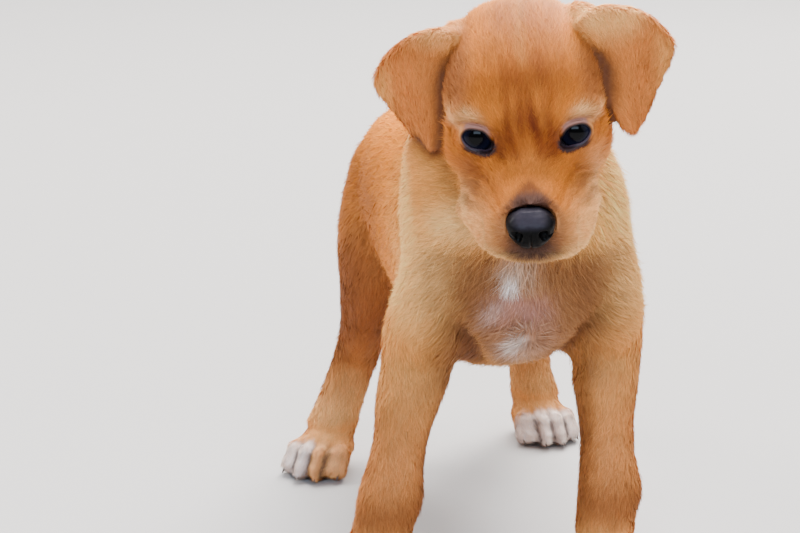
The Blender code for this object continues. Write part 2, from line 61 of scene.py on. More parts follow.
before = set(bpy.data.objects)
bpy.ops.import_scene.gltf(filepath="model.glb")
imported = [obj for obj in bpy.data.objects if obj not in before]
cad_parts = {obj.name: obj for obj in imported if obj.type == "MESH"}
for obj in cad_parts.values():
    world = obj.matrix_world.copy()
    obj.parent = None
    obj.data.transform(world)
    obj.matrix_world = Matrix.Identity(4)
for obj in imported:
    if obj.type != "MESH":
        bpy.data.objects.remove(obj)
SOLID_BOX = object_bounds()

MM = 0.001
SIDES = {"left": 1, "right": -1}
FEET = ("front_left", "front_right", "hind_left", "hind_right")
FLESH = (
    ["head", "lower_jaw", "neck", "trunk", "tail", "ear_left", "ear_right"]
    + ["leg_" + foot for foot in FEET]
    + ["paw_" + foot for foot in FEET]
)

# ---------------------------------------------------------------- places


def middle(node):
    low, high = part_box(node)
    return (low + high) / 2


EYES = {side: middle("eye_" + side) for side in SIDES}
EYE_RADIUS = (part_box("eye_left")[1].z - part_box("eye_left")[0].z) / 2
EYE_REST = Vector((0, 8.0, -2.9)) * MM  # middle of the two eyeballs in the head's own frame


def head_matrix():
    """The head's own frame: origin between the eyes on the face, +X to its left, -Y along the muzzle."""
    between = (EYES["left"] + EYES["right"]) / 2
    across = (EYES["left"] - EYES["right"]).normalized()
    ahead = middle("nose") - between
    ahead = (ahead - across * ahead.dot(across)).normalized()
    dip = math.atan2(23.02 - 2.9, 44.94 + 8.0)  # how far the nose lies below the level of the eyes
    ahead = Matrix.Rotation(-dip, 3, across) @ ahead
    back = -ahead
    up = across.cross(back)
    turn = Matrix((across, back, up)).transposed()
    return Matrix.Translation(between - turn @ EYE_REST) @ turn.to_4x4()


HEAD = head_matrix()
HEAD_BACK = HEAD.inverted()

# Where each foot stands: its turn, and its middle on the floor from the middle of its solid's box
FOOT_TURN = {
    "front_left": math.radians(-2),
    "front_right": math.radians(-20),
    "hind_left": math.radians(2),
    "hind_right": math.radians(-35),
}
FOOT_FROM_BOX = {"front_left": 3.5, "front_right": 4.7, "hind_left": 3.2, "hind_right": 3.3}
TOES = ((-0.68, -0.30, -14), (-0.24, -0.62, -4), (0.24, -0.62, 4), (0.68, -0.30, 14))
TOE_GAPS = (-0.46, 0.0, 0.46)
PAW_HALF_WIDTH = 21.0
PAW_HALF_LENGTH = 23.5
CLAW_LENGTH = 8.5
WRIST_HEIGHT = 47.0
BETWEEN_LEGS = -12.0  # millimetres along +X, midway between the front legs
NOSE_MIDDLE = np.array([0, -45, -23])  # in the head's own frame, in millimetres


def foot_matrix(foot):
    turn = Matrix.Rotation(FOOT_TURN[foot], 4, "Z")
    place = middle("paw_" + foot) + turn.to_3x3() @ Vector((0, FOOT_FROM_BOX[foot], 0)) * MM
    place.z = 0
    return Matrix.Translation(place) @ turn


def moved(matrix, points):
    """Points as an array, taken through a 4x4 matrix."""
    m = np.array(matrix)
    return np.asarray(points, float) @ m[:3, :3].T + m[:3, 3]


def turned(matrix, directions):
    return np.asarray(directions, float) @ np.array(matrix)[:3, :3].T


def unit(v):
    return v / np.maximum(np.linalg.norm(v, axis=-1, keepdims=True), 1e-9)


def smooth(low, high, x):
    """0 below low, 1 above high, and a soft step between them."""
    t = np.clip((x - low) / (high - low), 0, 1)
    return t * t * (3 - 2 * t)


def hump(x, centre, width):
    return np.exp(-(((x - centre) / width) ** 2))


def spot(points, centre, radii):
    """A soft spot of mark around a centre, with its own reach along each axis."""
    d = (points - np.array(centre, float)) / np.array(radii, float)
    return np.exp(-(d**2).sum(1))


def ripple(points, size, seed, waves=12):
    """Soft pseudo-random unevenness between about -1 and 1, of the given size in metres."""
    rng = np.random.default_rng(seed)
    total = np.zeros(len(points))
    for _ in range(waves):
        k = rng.normal(size=3)
        k *= rng.uniform(0.6, 1.5) / np.linalg.norm(k)
        total += np.sin(points @ (k * 2 * math.pi / size) + rng.uniform(0, 6.28))
    return total / math.sqrt(waves / 2) / 1.6


# ---------------------------------------------------------------- mesh helpers


def link(name, mesh):
    obj = bpy.data.objects.new(name, mesh)
    bpy.context.scene.collection.objects.link(obj)
    return obj


def select_only(*objs):
    bpy.ops.object.select_all(action="DESELECT")
    for obj in objs:
        obj.select_set(True)
    bpy.context.view_layer.objects.active = objs[0]


def points_of(mesh):
    co = np.empty(len(mesh.vertices) * 3, np.float32)
    mesh.vertices.foreach_get("co", co)
    return co.reshape(-1, 3).astype(float)


def set_points(mesh, points):
    mesh.vertices.foreach_set("co", np.asarray(points, np.float32).ravel())
    mesh.update()


def normals_of(mesh):
    co = np.empty(len(mesh.vertices) * 3, np.float32)
    mesh.vertex_normals.foreach_get("vector", co)
    return co.reshape(-1, 3).astype(float)


class Net:
    """The edges of a mesh, for evening out values over its surface."""

    def __init__(self, mesh):
        pairs = np.empty(len(mesh.edges) * 2, np.int32)
        mesh.edges.foreach_get("vertices", pairs)
        self.a, self.b = pairs.reshape(-1, 2).T
        self.count = len(mesh.vertices)
        links = np.bincount(self.a, minlength=self.count) + np.bincount(self.b, minlength=self.count)
        self.links = np.maximum(links, 1)

    def average(self, values):
        columns = values if values.ndim == 2 else values[:, None]
        out = np.empty_like(columns)
        for k in range(columns.shape[1]):
            c = columns[:, k]
            total = np.bincount(self.a, c[self.b], self.count) + np.bincount(self.b, c[self.a], self.count)
            out[:, k] = total / self.links
        return out if values.ndim == 2 else out[:, 0]

    def soften(self, values, rounds, share=0.6):
        for _ in range(rounds):
            values = values + share * (self.average(values) - values)
        return values

    def relax(self, points, rounds, share):
        """Smooths a surface without letting it shrink: each step in is followed by a step out."""
        for _ in range(rounds):
            points = points + (0.5 * share)[:, None] * (self.average(points) - points)
            points = points - (0.52 * share)[:, None] * (self.average(points) - points)
        return points


def shade_smooth(mesh):
    mesh.polygons.foreach_set("use_smooth", np.ones(len(mesh.polygons), bool))


def paint_points(mesh, name, colours):
    layer = mesh.color_attributes.new(name=name, type="FLOAT_COLOR", domain="POINT")
    rgba = np.ones((len(mesh.vertices), 4), np.float32)
    rgba[:, :3] = colours
    layer.data.foreach_set("color", rgba.ravel())


def paint_value(mesh, name, values):
    layer = mesh.attributes.new(name=name, type="FLOAT", domain="POINT")
    layer.data.foreach_set("value", np.asarray(values, np.float32))


def mesh_from(name, points, loops, starts, counts):
    mesh = bpy.data.meshes.new(name)
    mesh.vertices.add(len(points))
    mesh.loops.add(len(loops))
    mesh.polygons.add(len(starts))
    mesh.vertices.foreach_set("co", np.asarray(points, np.float32).ravel())
    mesh.loops.foreach_set("vertex_index", np.asarray(loops, np.int32))
    mesh.polygons.foreach_set("loop_start", np.asarray(starts, np.int32))
    mesh.polygons.foreach_set("loop_total", np.asarray(counts, np.int32))
    mesh.update(calc_edges=True)
    return mesh


def settle(obj, material, slot, *nodes):
    """Gives a finished piece its material and its place on the frame, and hides the solids that it stands for."""
    obj.data.materials.clear()
    obj.data.materials.append(material)
    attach(obj, "root")
    if nodes:
        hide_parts(*nodes)
    return obj


# ---------------------------------------------------------------- shader helpers


class Wire:
    """A socket of a node tree that adds Math nodes when it is used in an expression."""

    def __init__(self, web, socket):
        self.web, self.socket = web, socket

    def _math(self, operation, a, b):
        return self.web.node("ShaderNodeMath", {"operation": operation}, {0: a, 1: b})

    def __add__(self, other):
        return self._math("ADD", self, other)

    __radd__ = __add__

    def __mul__(self, other):
        return self._math("MULTIPLY", self, other)

    def __sub__(self, other):
        return self._math("SUBTRACT", self, other)

    def __rsub__(self, other):
        return self._math("SUBTRACT", other, self)


class Web:
    """The node tree of one material."""

    def __init__(self, name):
        self.material = bpy.data.materials.new(name)
        self.material.use_nodes = True
        self.tree = self.material.node_tree
        self.shader = self.tree.nodes["Principled BSDF"]

    def node(self, kind, settings=None, inputs=None, output=0):
        made = self.tree.nodes.new(kind)
        for key, value in (settings or {}).items():
            if key == "stops":
                ramp = made.color_ramp
                while len(ramp.elements) < len(value):
                    ramp.elements.new(0.5)
                for element, (place, colour) in zip(ramp.elements, value):
                    element.position, element.color = place, colour
            else:
                setattr(made, key, value)
        for key, value in (inputs or {}).items():
            self.put(made.inputs[key], value)
        return Wire(self, made.outputs[output])

    def put(self, socket, value):
        if isinstance(value, Wire):
            self.tree.links.new(value.socket, socket)
        else:
            socket.default_value = value

    def feed(self, **inputs):
        for key, value in inputs.items():
            self.put(self.shader.inputs[key.replace("_", " ")], value)

    def place(self):
        return self.node("ShaderNodeTexCoord", output="Object")

    def noise(self, scale, detail=3.0):
        inputs = {"Vector": self.place(), "Scale": scale, "Detail": detail, "Roughness": 0.55}
        return self.node("ShaderNodeTexNoise", {}, inputs)

    def value(self, name):
        return self.node("ShaderNodeAttribute", {"attribute_name": name}, output="Fac")

    def colour(self, name):
        return self.node("ShaderNodeAttribute", {"attribute_name": name}, output="Color")

    def mix(self, share, a, b, blend="MIX"):
        inputs = {"Factor": share, 6: a, 7: b}
        return self.node("ShaderNodeMix", {"data_type": "RGBA", "blend_type": blend}, inputs, output=2)

    def bump(self, height, strength, distance):
        return self.node("ShaderNodeBump", {}, {"Height": height, "Strength": strength, "Distance": distance})


def tone(r, g, b):
    """A colour given on the usual 0 to 255 scale, as linear light."""
    return tuple(((c / 255 + 0.055) / 1.055) ** 2.4 if c > 10 else c / 255 / 12.92 for c in (r, g, b))


# ---------------------------------------------------------------- settings


class HideSettings(bpy.types.PropertyGroup):
    """Sizes of the hide and its folds."""

    grain: bpy.props.FloatProperty(
        name="Grain", description="Size of the cells the hide is built from", default=2.35 * MM, unit="LENGTH"
    )
    overlap: bpy.props.FloatProperty(
        name="Overlap", description="How far the flesh solids grow to meet", default=0.8 * MM, unit="LENGTH"
    )
    ear_spread: bpy.props.FloatProperty(
        name="Ear spread", description="How much wider the right ear lies than its solid, on each side",
        default=2.6 * MM, unit="LENGTH",
    )
    lid_thickness: bpy.props.FloatProperty(
        name="Lid thickness", description="How proud the lids stand of the eyeball", default=0.85 * MM, unit="LENGTH"
    )
    lip_fullness: bpy.props.FloatProperty(
        name="Lip fullness", description="How far the lips hang out to each side", default=4.6 * MM, unit="LENGTH"
    )
    mouth_depth: bpy.props.FloatProperty(
        name="Mouth depth", description="Depth of the line between the lips", default=1.3 * MM, unit="LENGTH"
    )


class CoatSettings(bpy.types.PropertyGroup):
    """The coat's colours and how close it grows."""

    closeness: bpy.props.FloatProperty(
        name="Closeness", description="Share of the full number of tufts", default=1.0, min=0.05, max=1.2
    )
    ground: bpy.props.FloatVectorProperty(
        name="Ground", description="Main tan of the coat", default=tone(228, 138, 40), subtype="COLOR"
    )
    pale: bpy.props.FloatVectorProperty(
        name="Pale", description="Cream gold of the neck and shoulders", default=tone(255, 187, 102), subtype="COLOR"
    )
    # Rust also stands for painted shade on the lower flank, the haunches, the inner sides of the front legs and
    # beside the ears.
    rust: bpy.props.FloatVectorProperty(
        name="Rust", description="Deep rust of the brow furrow", default=tone(104, 36, 4), subtype="COLOR"
    )
    face: bpy.props.FloatVectorProperty(
        name="Face", description="Orange brown of the face", default=tone(204, 116, 36), subtype="COLOR"
    )
    ear: bpy.props.FloatVectorProperty(
        name="Ear", description="Brown of the ears", default=tone(214, 128, 60), subtype="COLOR"
    )
    # Cream also stands for a painted highlight on the shoulders.
    cream: bpy.props.FloatVectorProperty(
        name="Cream", description="Cream of the brows and lips", default=tone(255, 206, 134), subtype="COLOR"
    )
    white: bpy.props.FloatVectorProperty(
        name="White", description="White of the toes and chest", default=tone(252, 243, 238), subtype="COLOR"
    )
    dark: bpy.props.FloatVectorProperty(
        name="Dark", description="Grey brown of single dark marks", default=tone(62, 46, 48), subtype="COLOR"
    )
    hide: bpy.props.FloatVectorProperty(
        name="Hide", description="Pinkish skin under thin coat", default=tone(188, 140, 124), subtype="COLOR"
    )


class StageSettings(bpy.types.PropertyGroup):
    """Lamps and camera."""

    focal_length: bpy.props.FloatProperty(
        name="Focal length", description="Focal length of the camera in millimetres", default=90.0
    )
    key_power: bpy.props.FloatProperty(
        name="Key light", description="Power of the large soft lamp in front", default=50.0, unit="POWER"
    )
    overhead: bpy.props.FloatProperty(
        name="Overhead", description="Strength of the soft light from above", default=12.0
    )


def hide_settings():
    return bpy.context.scene.puppy_hide


def coat_settings():
    return bpy.context.scene.puppy_coat


# ---------------------------------------------------------------- the body's regions

# For each region: how much its surface is smoothed and the depth of its coat in millimetres, then of its
# tufts the length and width in millimetres, the number on a square millimetre, the lift and how much the
# brightness varies
EASE, DEPTH, LENGTH, WIDTH, CLOSENESS, LIFT, VARIETY = range(7)
REGIONS = {
    "head": (0.5, 1.1, 6.0, 0.30, 6.3, 0.15, 0.11),
    "ear_left": (0.28, 0.7, 4.8, 0.30, 5.2, 0.12, 0.10),
    "ear_right": (0.28, 0.7, 4.8, 0.30, 5.2, 0.12, 0.10),
    "neck": (1.0, 2.6, 9.5, 0.38, 5.0, 0.19, 0.24),
    "trunk": (1.0, 2.4, 9.5, 0.40, 2.5, 0.15, 0.14),
    "tail": (0.7, 2.0, 9.0, 0.40, 3.0, 0.2, 0.10),
    "leg_front": (0.8, 1.5, 6.5, 0.34, 3.6, 0.14, 0.10),
    "leg_hind": (0.8, 1.6, 7.0, 0.36, 3.1, 0.14, 0.10),
    "paw_front": (0.28, 0.8, 4.0, 0.30, 4.8, 0.12, 0.06),
    "paw_hind": (0.28, 0.8, 4.0, 0.30, 4.8, 0.12, 0.06),
}
REGION_NAMES = list(REGIONS)


def region_of(node):
    if node == "lower_jaw":
        return "head"
    if node.startswith(("leg_", "paw_")):
        return "_".join(node.split("_")[:2])
    return node


BROAD = ("neck", "trunk", "tail", "leg_front", "leg_hind")  # regions that run into each other without an edge


class Body:
    """What is known at each point of the hide: its place in the body and in the head, and its region."""

    def __init__(self, mesh, tree, owners, net=None):
        self.points = points_of(mesh)
        self.normals = normals_of(mesh)
        self.net = net or Net(mesh)
        self.head = moved(HEAD_BACK, self.points) / MM
        owner = np.array([owners[tree.find_nearest(Vector(p))[2]] for p in self.points])
        self.share = {r: self.net.soften((owner == k).astype(float), 8) for k, r in enumerate(REGIONS)}
        wide = {r: self.net.soften(self.share[r], 110) + 1e-9 for r in BROAD}
        total, whole = sum(wide.values()), sum(self.share[r] for r in BROAD)
        for region in BROAD:
            self.share[region] = whole * wide[region] / total

    def pick(self, column):
        """One value of each region's row, blended over the borders between regions."""
        return sum(self.share[region] * row[column] for region, row in REGIONS.items())


def flesh_tree():
    """A search tree over the flesh solids, with the region that each triangle belongs to."""
    points, faces, owners = [], [], []
    for node in FLESH:
        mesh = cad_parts[node].data
        base = len(points)
        points += [v.co.copy() for v in mesh.vertices]
        faces += [[base + i for i in p.vertices] for p in mesh.polygons]
        owners += [REGION_NAMES.index(region_of(node))] * len(mesh.polygons)
    return BVHTree.FromPolygons(points, faces), owners


# ---------------------------------------------------------------- hide


def grown_flesh(distance):
    """Closed copies of the flesh solids and eyeballs, each moved out a little so that neighbours overlap."""
    whole = bmesh.new()
    for node in FLESH + ["eye_left", "eye_right"]:
        piece = bmesh.new()
        piece.from_mesh(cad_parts[node].data)
        bmesh.ops.remove_doubles(piece, verts=piece.verts, dist=0.00001)
        bmesh.ops.recalc_face_normals(piece, faces=piece.faces)
        piece.normal_update()
        reach = distance if not node.startswith("eye") else 0.1 * MM
        places = [v.co + v.normal * reach * min(v.calc_shell_factor(), 1.6) for v in piece.verts]
        for vert, place in zip(piece.verts, places):
            vert.co = place
        mesh = bpy.data.meshes.new("piece")
        piece.to_mesh(mesh)
        piece.free()
        whole.from_mesh(mesh)
        bpy.data.meshes.remove(mesh)
    mesh = bpy.data.meshes.new("hide")
    whole.to_mesh(mesh)
    whole.free()
    return link("hide", mesh)


def apply_all(obj):
    select_only(obj)
    for modifier in list(obj.modifiers):
        bpy.ops.object.modifier_apply(modifier=modifier.name)


def remeshed(obj, cell):
    remesh = obj.modifiers.new("even cells", "REMESH")
    remesh.mode = "VOXEL"
    remesh.voxel_size = cell
    apply_all(obj)


def divide(obj, chosen):
    """Divides the faces around the chosen points into finer ones."""
    bm = bmesh.new()
    bm.from_mesh(obj.data)
    edges = [e for e in bm.edges if chosen[e.verts[0].index] and chosen[e.verts[1].index]]
    bmesh.ops.subdivide_edges(bm, edges=edges, cuts=1, use_grid_fill=True, smooth=0.0)
    bmesh.ops.triangulate(bm, faces=[f for f in bm.faces if len(f.verts) > 4])
    bm.to_mesh(obj.data)
    bm.free()
    obj.data.update()


def eye_frame(side):
    """Turn of one eye: across to the outer corner, up the lids, and out along its gaze."""
    s = SIDES[side]
    turn = (
        HEAD.to_3x3()
        @ Matrix.Rotation(math.radians(4 * s), 3, "Z")
        @ Matrix.Rotation(math.radians(-28), 3, "X")
        @ Matrix.Rotation(math.radians(-13 * s), 3, "Y")
    )
    return turn @ Vector((s, 0, 0)), turn @ Vector((0, 0, 1)), turn @ Vector((0, -1, 0))


def lid_line(angle, spread=0.0):
    """The opening between the lids, in millimetres across and up, moved outwards by the spread."""
    a = np.asarray(angle, float)
    c, s = np.cos(a), np.sin(a)
    across = np.where(c > 0, 6.9, 8.0) * np.sign(c) * np.abs(c) ** 0.92 - 0.2
    up = np.where(s > 0, 4.5, 4.2) * np.sign(s) * np.abs(s) ** 1.12 - 1.4
    up = up - 1.5 * smooth(2.0, 8.0, -across) + 0.5 * smooth(0.0, 6.0, across)
    outward = unit(np.stack([c * 0.75, s], -1))
    return across + outward[..., 0] * spread, up + outward[..., 1] * spread


def eye_space(points, side):
    """Points seen along one eye's gaze: millimetres across, up and out from the eyeball's middle."""
    u, v, w = eye_frame(side)
    d = (points - np.array(EYES[side])) / MM
    return d @ np.array(u), d @ np.array(v), d @ np.array(w)


def lid_distance(across, up):
    """Distance out from the edge of the opening, below zero inside it."""
    angles = np.linspace(0, 2 * math.pi, 73)[:-1]
    x, y = lid_line(angles)
    best = np.full(len(across), 1e9)
    for px, py in zip(x, y):
        best = np.minimum(best, np.hypot(across - px, up - py))
    turn = np.zeros(len(across))
    for k in range(len(x)):
        n = (k + 1) % len(x)
        ax, ay, bx, by = x[k] - across, y[k] - up, x[n] - across, y[n] - up
        turn += np.arctan2(ax * by - ay * bx, ax * bx + ay * by)
    return np.where(np.abs(turn) > 3, -best, best)


LID_EDGE = 0.55  # millimetres from the edge of the opening to the crest of the rim
LID_REACH = 7.5  # and to where the lid runs into the face


def lids(side, tree):
    """Both lids of one eye, as rings from under the rim, over its wet edge and out to the face."""
    u, v, w = eye_frame(side)
    centre = EYES[side]
    radius = EYE_RADIUS / MM
    thick = hide_settings().lid_thickness / MM
    spokes = 96
    angles = np.linspace(0, 2 * math.pi, spokes, endpoint=False)
    upper = smooth(-0.2, 0.5, np.sin(angles))
    inner = smooth(0.75, 1.0, -np.cos(angles))
    rings = []  # each as across, up and out, in millimetres

    def on_ball(spread, height):
        x, y = lid_line(angles, spread)
        reach = radius + height
        return x, y, np.sqrt(np.maximum(reach**2 - x**2 - y**2, 4.0))

    for spread, height in ((-0.25, -0.6), (0.0, 0.05), (0.15, thick * 0.55), (LID_EDGE, thick)):
        rings.append(on_ball(spread, height))
    rim_height = rings[-1][2]
    ox, oy = lid_line(angles, LID_REACH)
    face_height = np.empty(spokes)
    for k in range(spokes):
        start = centre + (u * ox[k] + v * oy[k] + w * 30) * MM
        hit = tree.ray_cast(start, -w)[0]
        face_height[k] = (hit - centre).dot(w) / MM if hit else 0.0
    for t in (0.1, 0.18, 0.27, 0.36, 0.45, 0.55, 0.66, 0.78, 0.9, 1.0):
        x, y = lid_line(angles, LID_EDGE + (LID_REACH - LID_EDGE) * t)
        height = rim_height + (face_height - rim_height) * smooth(0, 1, t)
        height = height + upper * (0.75 * hump(t, 0.20, 0.16) - 0.9 * hump(t, 0.42, 0.09) + 0.5 * hump(t, 0.6, 0.12))
        height = height + (1 - upper) * (1 - inner) * (0.5 * hump(t, 0.16, 0.1) - 0.45 * hump(t, 0.34, 0.09))
        height = height + (1 - upper) * 0.4 * hump(t, 0.52, 0.12)
        height = height - 0.35 * smooth(0.8, 1.0, t)
        rings.append((x, y, height))
    points = []
    for x, y, z in rings:
        points += [centre + (u * x[k] + v * y[k] + w * z[k]) * MM for k in range(spokes)]
    faces = []
    for r in range(len(rings) - 1):
        for k in range(spokes):
            n = (k + 1) % spokes
            quad = [r * spokes + k, r * spokes + n, (r + 1) * spokes + n, (r + 1) * spokes + k]
            faces.append(quad[::-1] if side == "left" else quad)
    mesh = bpy.data.meshes.new("lids_" + side)
    mesh.from_pydata([tuple(p) for p in points], [], faces)
    bm = bmesh.new()
    bm.from_mesh(mesh)
    bm.normal_update()
    if sum(f.normal.dot(w) for f in bm.faces) < 0:
        bmesh.ops.reverse_faces(bm, faces=bm.faces)
    bm.to_mesh(mesh)
    bm.free()
    return link("lids_" + side, mesh)


def mouth_height(y):
    """Height of the line between the lips in the head's own frame, along the muzzle."""
    return np.interp(y, [-48, -44, -38, -26, -14, -4, 4], [-38.6, -38.4, -39.6, -41.0, -40.0, -38.2, -37.0])


def jowls(h):
    """How far the lips hang out to each side, and the cheeks behind them draw in, in millimetres."""
    x, y, z = np.abs(h[:, 0]), h[:, 1], h[:, 2]
    lips = hump(z, -36, 9) * smooth(0, -12, y) * smooth(-47, -36, y) * smooth(8, 18, x)
    cheek = hump(z, -19, 10) * hump(y, 2, 13) * smooth(18, 27, x)
    under = hump(z, -33, 7) * hump(y, 1, 11) * smooth(23, 30, x)
    return hide_settings().lip_fullness / MM * lips - 2.6 * cheek - 4.5 * under


FLEW_EDGE = {  # where the cheek and the hanging lip end over the throat, in the head's own space
    -1: [(-38, 12, -22), (-36, 7, -23.5), (-33, -3, -26), (-30.5, -14, -27.5), (-29.8, -20, -29), (-29.5, -24, -33)],
    1: [(37, 6, -27), (35, -4, -29.5), (33.5, -11, -31.5), (32.5, -18, -33.5), (31.5, -22, -37.5)],
}
FLEW_HANG = ([-31, -24, -18, -10, 0, 9, 19, 28, 34], [0, 1.6, 2.4, 1.9, 1.2, 2.6, 4.6, 4.0, 0])


def near_path(h, path):
    """Distance from a bent line, in millimetres."""
    best = np.full(len(h), 1e9)
    for a, b in zip(np.array(path[:-1], float), np.array(path[1:], float)):
        t = np.clip((h - a) @ (b - a) / ((b - a) @ (b - a)), 0, 1)
        best = np.minimum(best, np.linalg.norm(h - (a + t[:, None] * (b - a)), axis=1))
    return best


def flew_furrow(h, width, back=2.4):
    """The furrow behind the edge of each cheek and lip."""
    total = np.zeros(len(h))
    for s, path in FLEW_EDGE.items():
        behind = [(x + 0.3 * s * back, y + back, z - back) for x, y, z in path]
        total = np.maximum(total, hump(near_path(h, behind), 0, width))
    return total


CHEEK_FOLDS = (  # below each eye: rise, drop below the first fold, width, middle out from the centre, reach
    (-0.9, 0, 1.0, 25, 8),
    (0.5, 1.8, 1.1, 26, 8),
    (-0.8, 3.6, 0.9, 27, 7),
    (-0.7, 7.0, 1.0, 29, 5),
)


def cheek_fold(out, z):
    """Height above the first fold below the eye, at a distance out from the centre of the face."""
    return z + 15.5 + 0.035 * (out - 20) ** 2


def sculpt_face(body):
    """Folds of the face, as a push along the normal in millimetres."""
    h = body.head
    x, y, z = h.T
    front = smooth(16, 4, y)
    push = np.zeros(len(h))
    depth = hide_settings().mouth_depth / MM
    line = mouth_height(y)
    push -= depth * hump(z, line, 0.9) * smooth(3, -3, y) * (0.35 + 0.65 * smooth(22, 10, np.abs(x)))
    push += 0.45 * hump(z, line + 2.3, 1.6) * smooth(0, -6, y)
    hang = smooth(-29, -38, z) * smooth(-56, -49, z) * smooth(-14, -27, y)
    push += np.interp(x, *FLEW_HANG) * hang * smooth(0.9, 0.2, turned(HEAD_BACK, body.normals)[:, 2])
    push -= 3.0 * flew_furrow(h, 2.6)
    push -= 0.9 * hump(x, 0, 0.9) * smooth(-36, -40, y) * smooth(-41.5, -38, z) * smooth(-27, -31, z)
    push -= 0.5 * hump(x, 0, 3.2) * smooth(0, 8, z) * smooth(34, 20, z) * front
    for s in (1, -1):
        out = x * s
        edge = np.interp(-z, [20, 26, 33, 39.5, 42.5], [22.5, 23.3, 22.5, 19.0, 13.0])
        beside = smooth(-20, -26, z) * smooth(-14, -22, y)
        push -= 0.75 * hump(out, edge, 1.3) * beside * smooth(-44, -41, z)
        push += 0.5 * hump(out, edge + 3.4, 2.2) * beside * smooth(-44, -40, z)
        for rise, drop, width, middle_out, reach in CHEEK_FOLDS:
            push += rise * hump(cheek_fold(out, z) + drop, 0, width) * hump(out, middle_out, reach) * front
    return push


def sculpt_limbs(body):
    """The clefts between the toes and the swell of the wrists, as a push along the normal in millimetres."""
    push = np.zeros(len(body.points))
    for foot in FEET:
        local = moved(foot_matrix(foot).inverted(), body.points) / MM
        x, y, z = local.T
        kind = foot.split("_")[0]
        part = body.share["paw_" + kind] * (np.hypot(x, y) < 40)
        cleft = sum(hump(x, k * PAW_HALF_WIDTH, 1.1) for k in TOE_GAPS)
        plump = sum(hump(x, k * PAW_HALF_WIDTH, 3.4) for k in (-0.69, -0.23, 0.23, 0.69))
        push += 1.3 * part * plump * smooth(-10, -16, y) * hump(z, 8, 7.5)
        push -= 1.3 * part * cleft * smooth(-5, -11, y) * smooth(1, 5, z) * smooth(26, 20, z)
        if kind == "front":
            leg = body.share["leg_front"] * (np.hypot(x, y) < 60)
            push += 1.7 * leg * hump(z, WRIST_HEIGHT, 11) * smooth(0.3, -0.3, body.normals[:, 1])
            push -= 1.0 * leg * hump(z, 80, 16)
    return push


CREASES = (  # across the chest at each height, where the upper arms meet it
    ([108, 121, 131, 144, 158], [-10, -17, -23.5, -32, -41]),
    ([104, 120, 134, 143, 158], [34, 33, 33, 37, 45]),
)


def chest_creases(points, width):
    """The furrows between the chest and the upper arms."""
    x, y, z = (points / MM).T
    total = sum(hump(x, np.interp(z, heights, across), width) for heights, across in CREASES)
    return total * smooth(160, 138, z) * smooth(100, 110, z) * smooth(-70, -90, y)


def refine(obj):
    """Finer faces over the face and paws, and finer ones again over the muzzle and around the eyes."""
    for finer in (False, True):
        points = points_of(obj.data)
        x, y, z = (moved(HEAD_BACK, points) / MM).T
        if finer:
            chosen = (np.abs(x) < 26) & (y < -22) & (z > -45) & (z < -14)
            for side in SIDES:
                u, v, w = eye_space(points, side)
                chosen |= (np.hypot(u / 1.35, v) < 11.5) & (w > -4)
        else:
            paws = (points[:, 2] < 28 * MM) & (points[:, 2] > 1 * MM)
            chosen = paws | (np.abs(x) < 40) & (y < 12) & (z > -48) & (z < 24)
        divide(obj, chosen)


def eased(body):
    """The hide's points, smoothed over the joins of the solids, with ears spread and lips filled out."""
    points = body.net.relax(body.points, 34, np.clip(body.pick(EASE), 0.1, 1.0))
    groin = np.clip(5 * body.share["trunk"] * body.share["leg_hind"], 0, 1) * smooth(160, 140, points[:, 2] / MM)
    points = body.net.relax(points, 70, groin)
    h = moved(HEAD_BACK, points) / MM
    spread = hide_settings().ear_spread / MM
    h[:, 0] += spread * body.share["ear_right"] * (h[:, 0] + 57) / 20
    h[:, 0] -= spread * body.share["ear_left"] * smooth(60, 44, h[:, 0])
    h[:, 0] += np.sign(h[:, 0]) * jowls(h) * body.share["head"]
    return moved(HEAD, h * MM)


def sunk_under_lids(points):
    """The points moved in under the lids and eyeballs, and how far each is hidden there."""
    hidden = np.zeros(len(points))
    for side in SIDES:
        u, v, w = eye_space(points, side)
        away = lid_distance(u, v)
        ahead = smooth(-4, -1, w)
        back = smooth(LID_REACH - 0.5, LID_REACH - 3.0, away) * ahead
        under = np.sqrt(np.maximum((EYE_RADIUS / MM - 2.0) ** 2 - u**2 - v**2, 0)) - 0.5
        sunk = w - 2.2 * back
        target = np.where(away < 1.5, np.minimum(sunk, under), sunk)
        gaze = np.array(eye_frame(side)[2])
        points = points + gaze * ((target - w) * MM * (ahead > 0))[:, None]
        hidden = np.maximum(hidden, smooth(0.25, 0.6, back))
    return points, hidden


def build_hide():
    """One closed hide over all the flesh, eased, sunk by the depth of the coat, with its folds and lids."""
    settings = hide_settings()
    obj = grown_flesh(settings.overlap)
    remeshed(obj, settings.grain)
    refine(obj)
    tree, owners = flesh_tree()
    mesh = obj.data
    net = Net(mesh)
    set_points(mesh, eased(Body(mesh, tree, owners, net)))
    body = Body(mesh, tree, owners, net)
    x, y, z = body.points.T / MM
    keel = hump(x, 8, 15) * hump(z, 126, 13) * smooth(-75, -95, y)
    push = sculpt_face(body) + sculpt_limbs(body) - coat_depth(body)
    push += 1.6 * keel - 4.4 * chest_creases(body.points, 4.6)
    push -= settings.overlap / MM + 1.6 * ear_gap(body)
    points = body.points + body.normals * (push * MM)[:, None]
    surface = BVHTree.FromPolygons([Vector(p) for p in points], [tuple(p.vertices) for p in mesh.polygons])
    made = [lids(side, surface) for side in SIDES]
    points, hidden = sunk_under_lids(points)
    set_points(mesh, points)
    paint_value(mesh, "hidden", hidden)
    for lid in made:
        paint_value(lid.data, "hidden", np.zeros(len(lid.data.vertices)))
    select_only(obj, *made)
    bpy.ops.object.join()
    shade_smooth(obj.data)
    obj.name = "hide"
    obj.data.name = "hide"
    return obj


def ear_gap(body):
    """The shaded gap where an ear hangs against the side of the head, below its fold."""
    edge = body.share["head"] * (body.share["ear_left"] + body.share["ear_right"]) * 4
    return np.clip(edge * 1.2, 0, 1) * smooth(34, 24, body.head[:, 2]) * smooth(46, 34, body.head[:, 1])


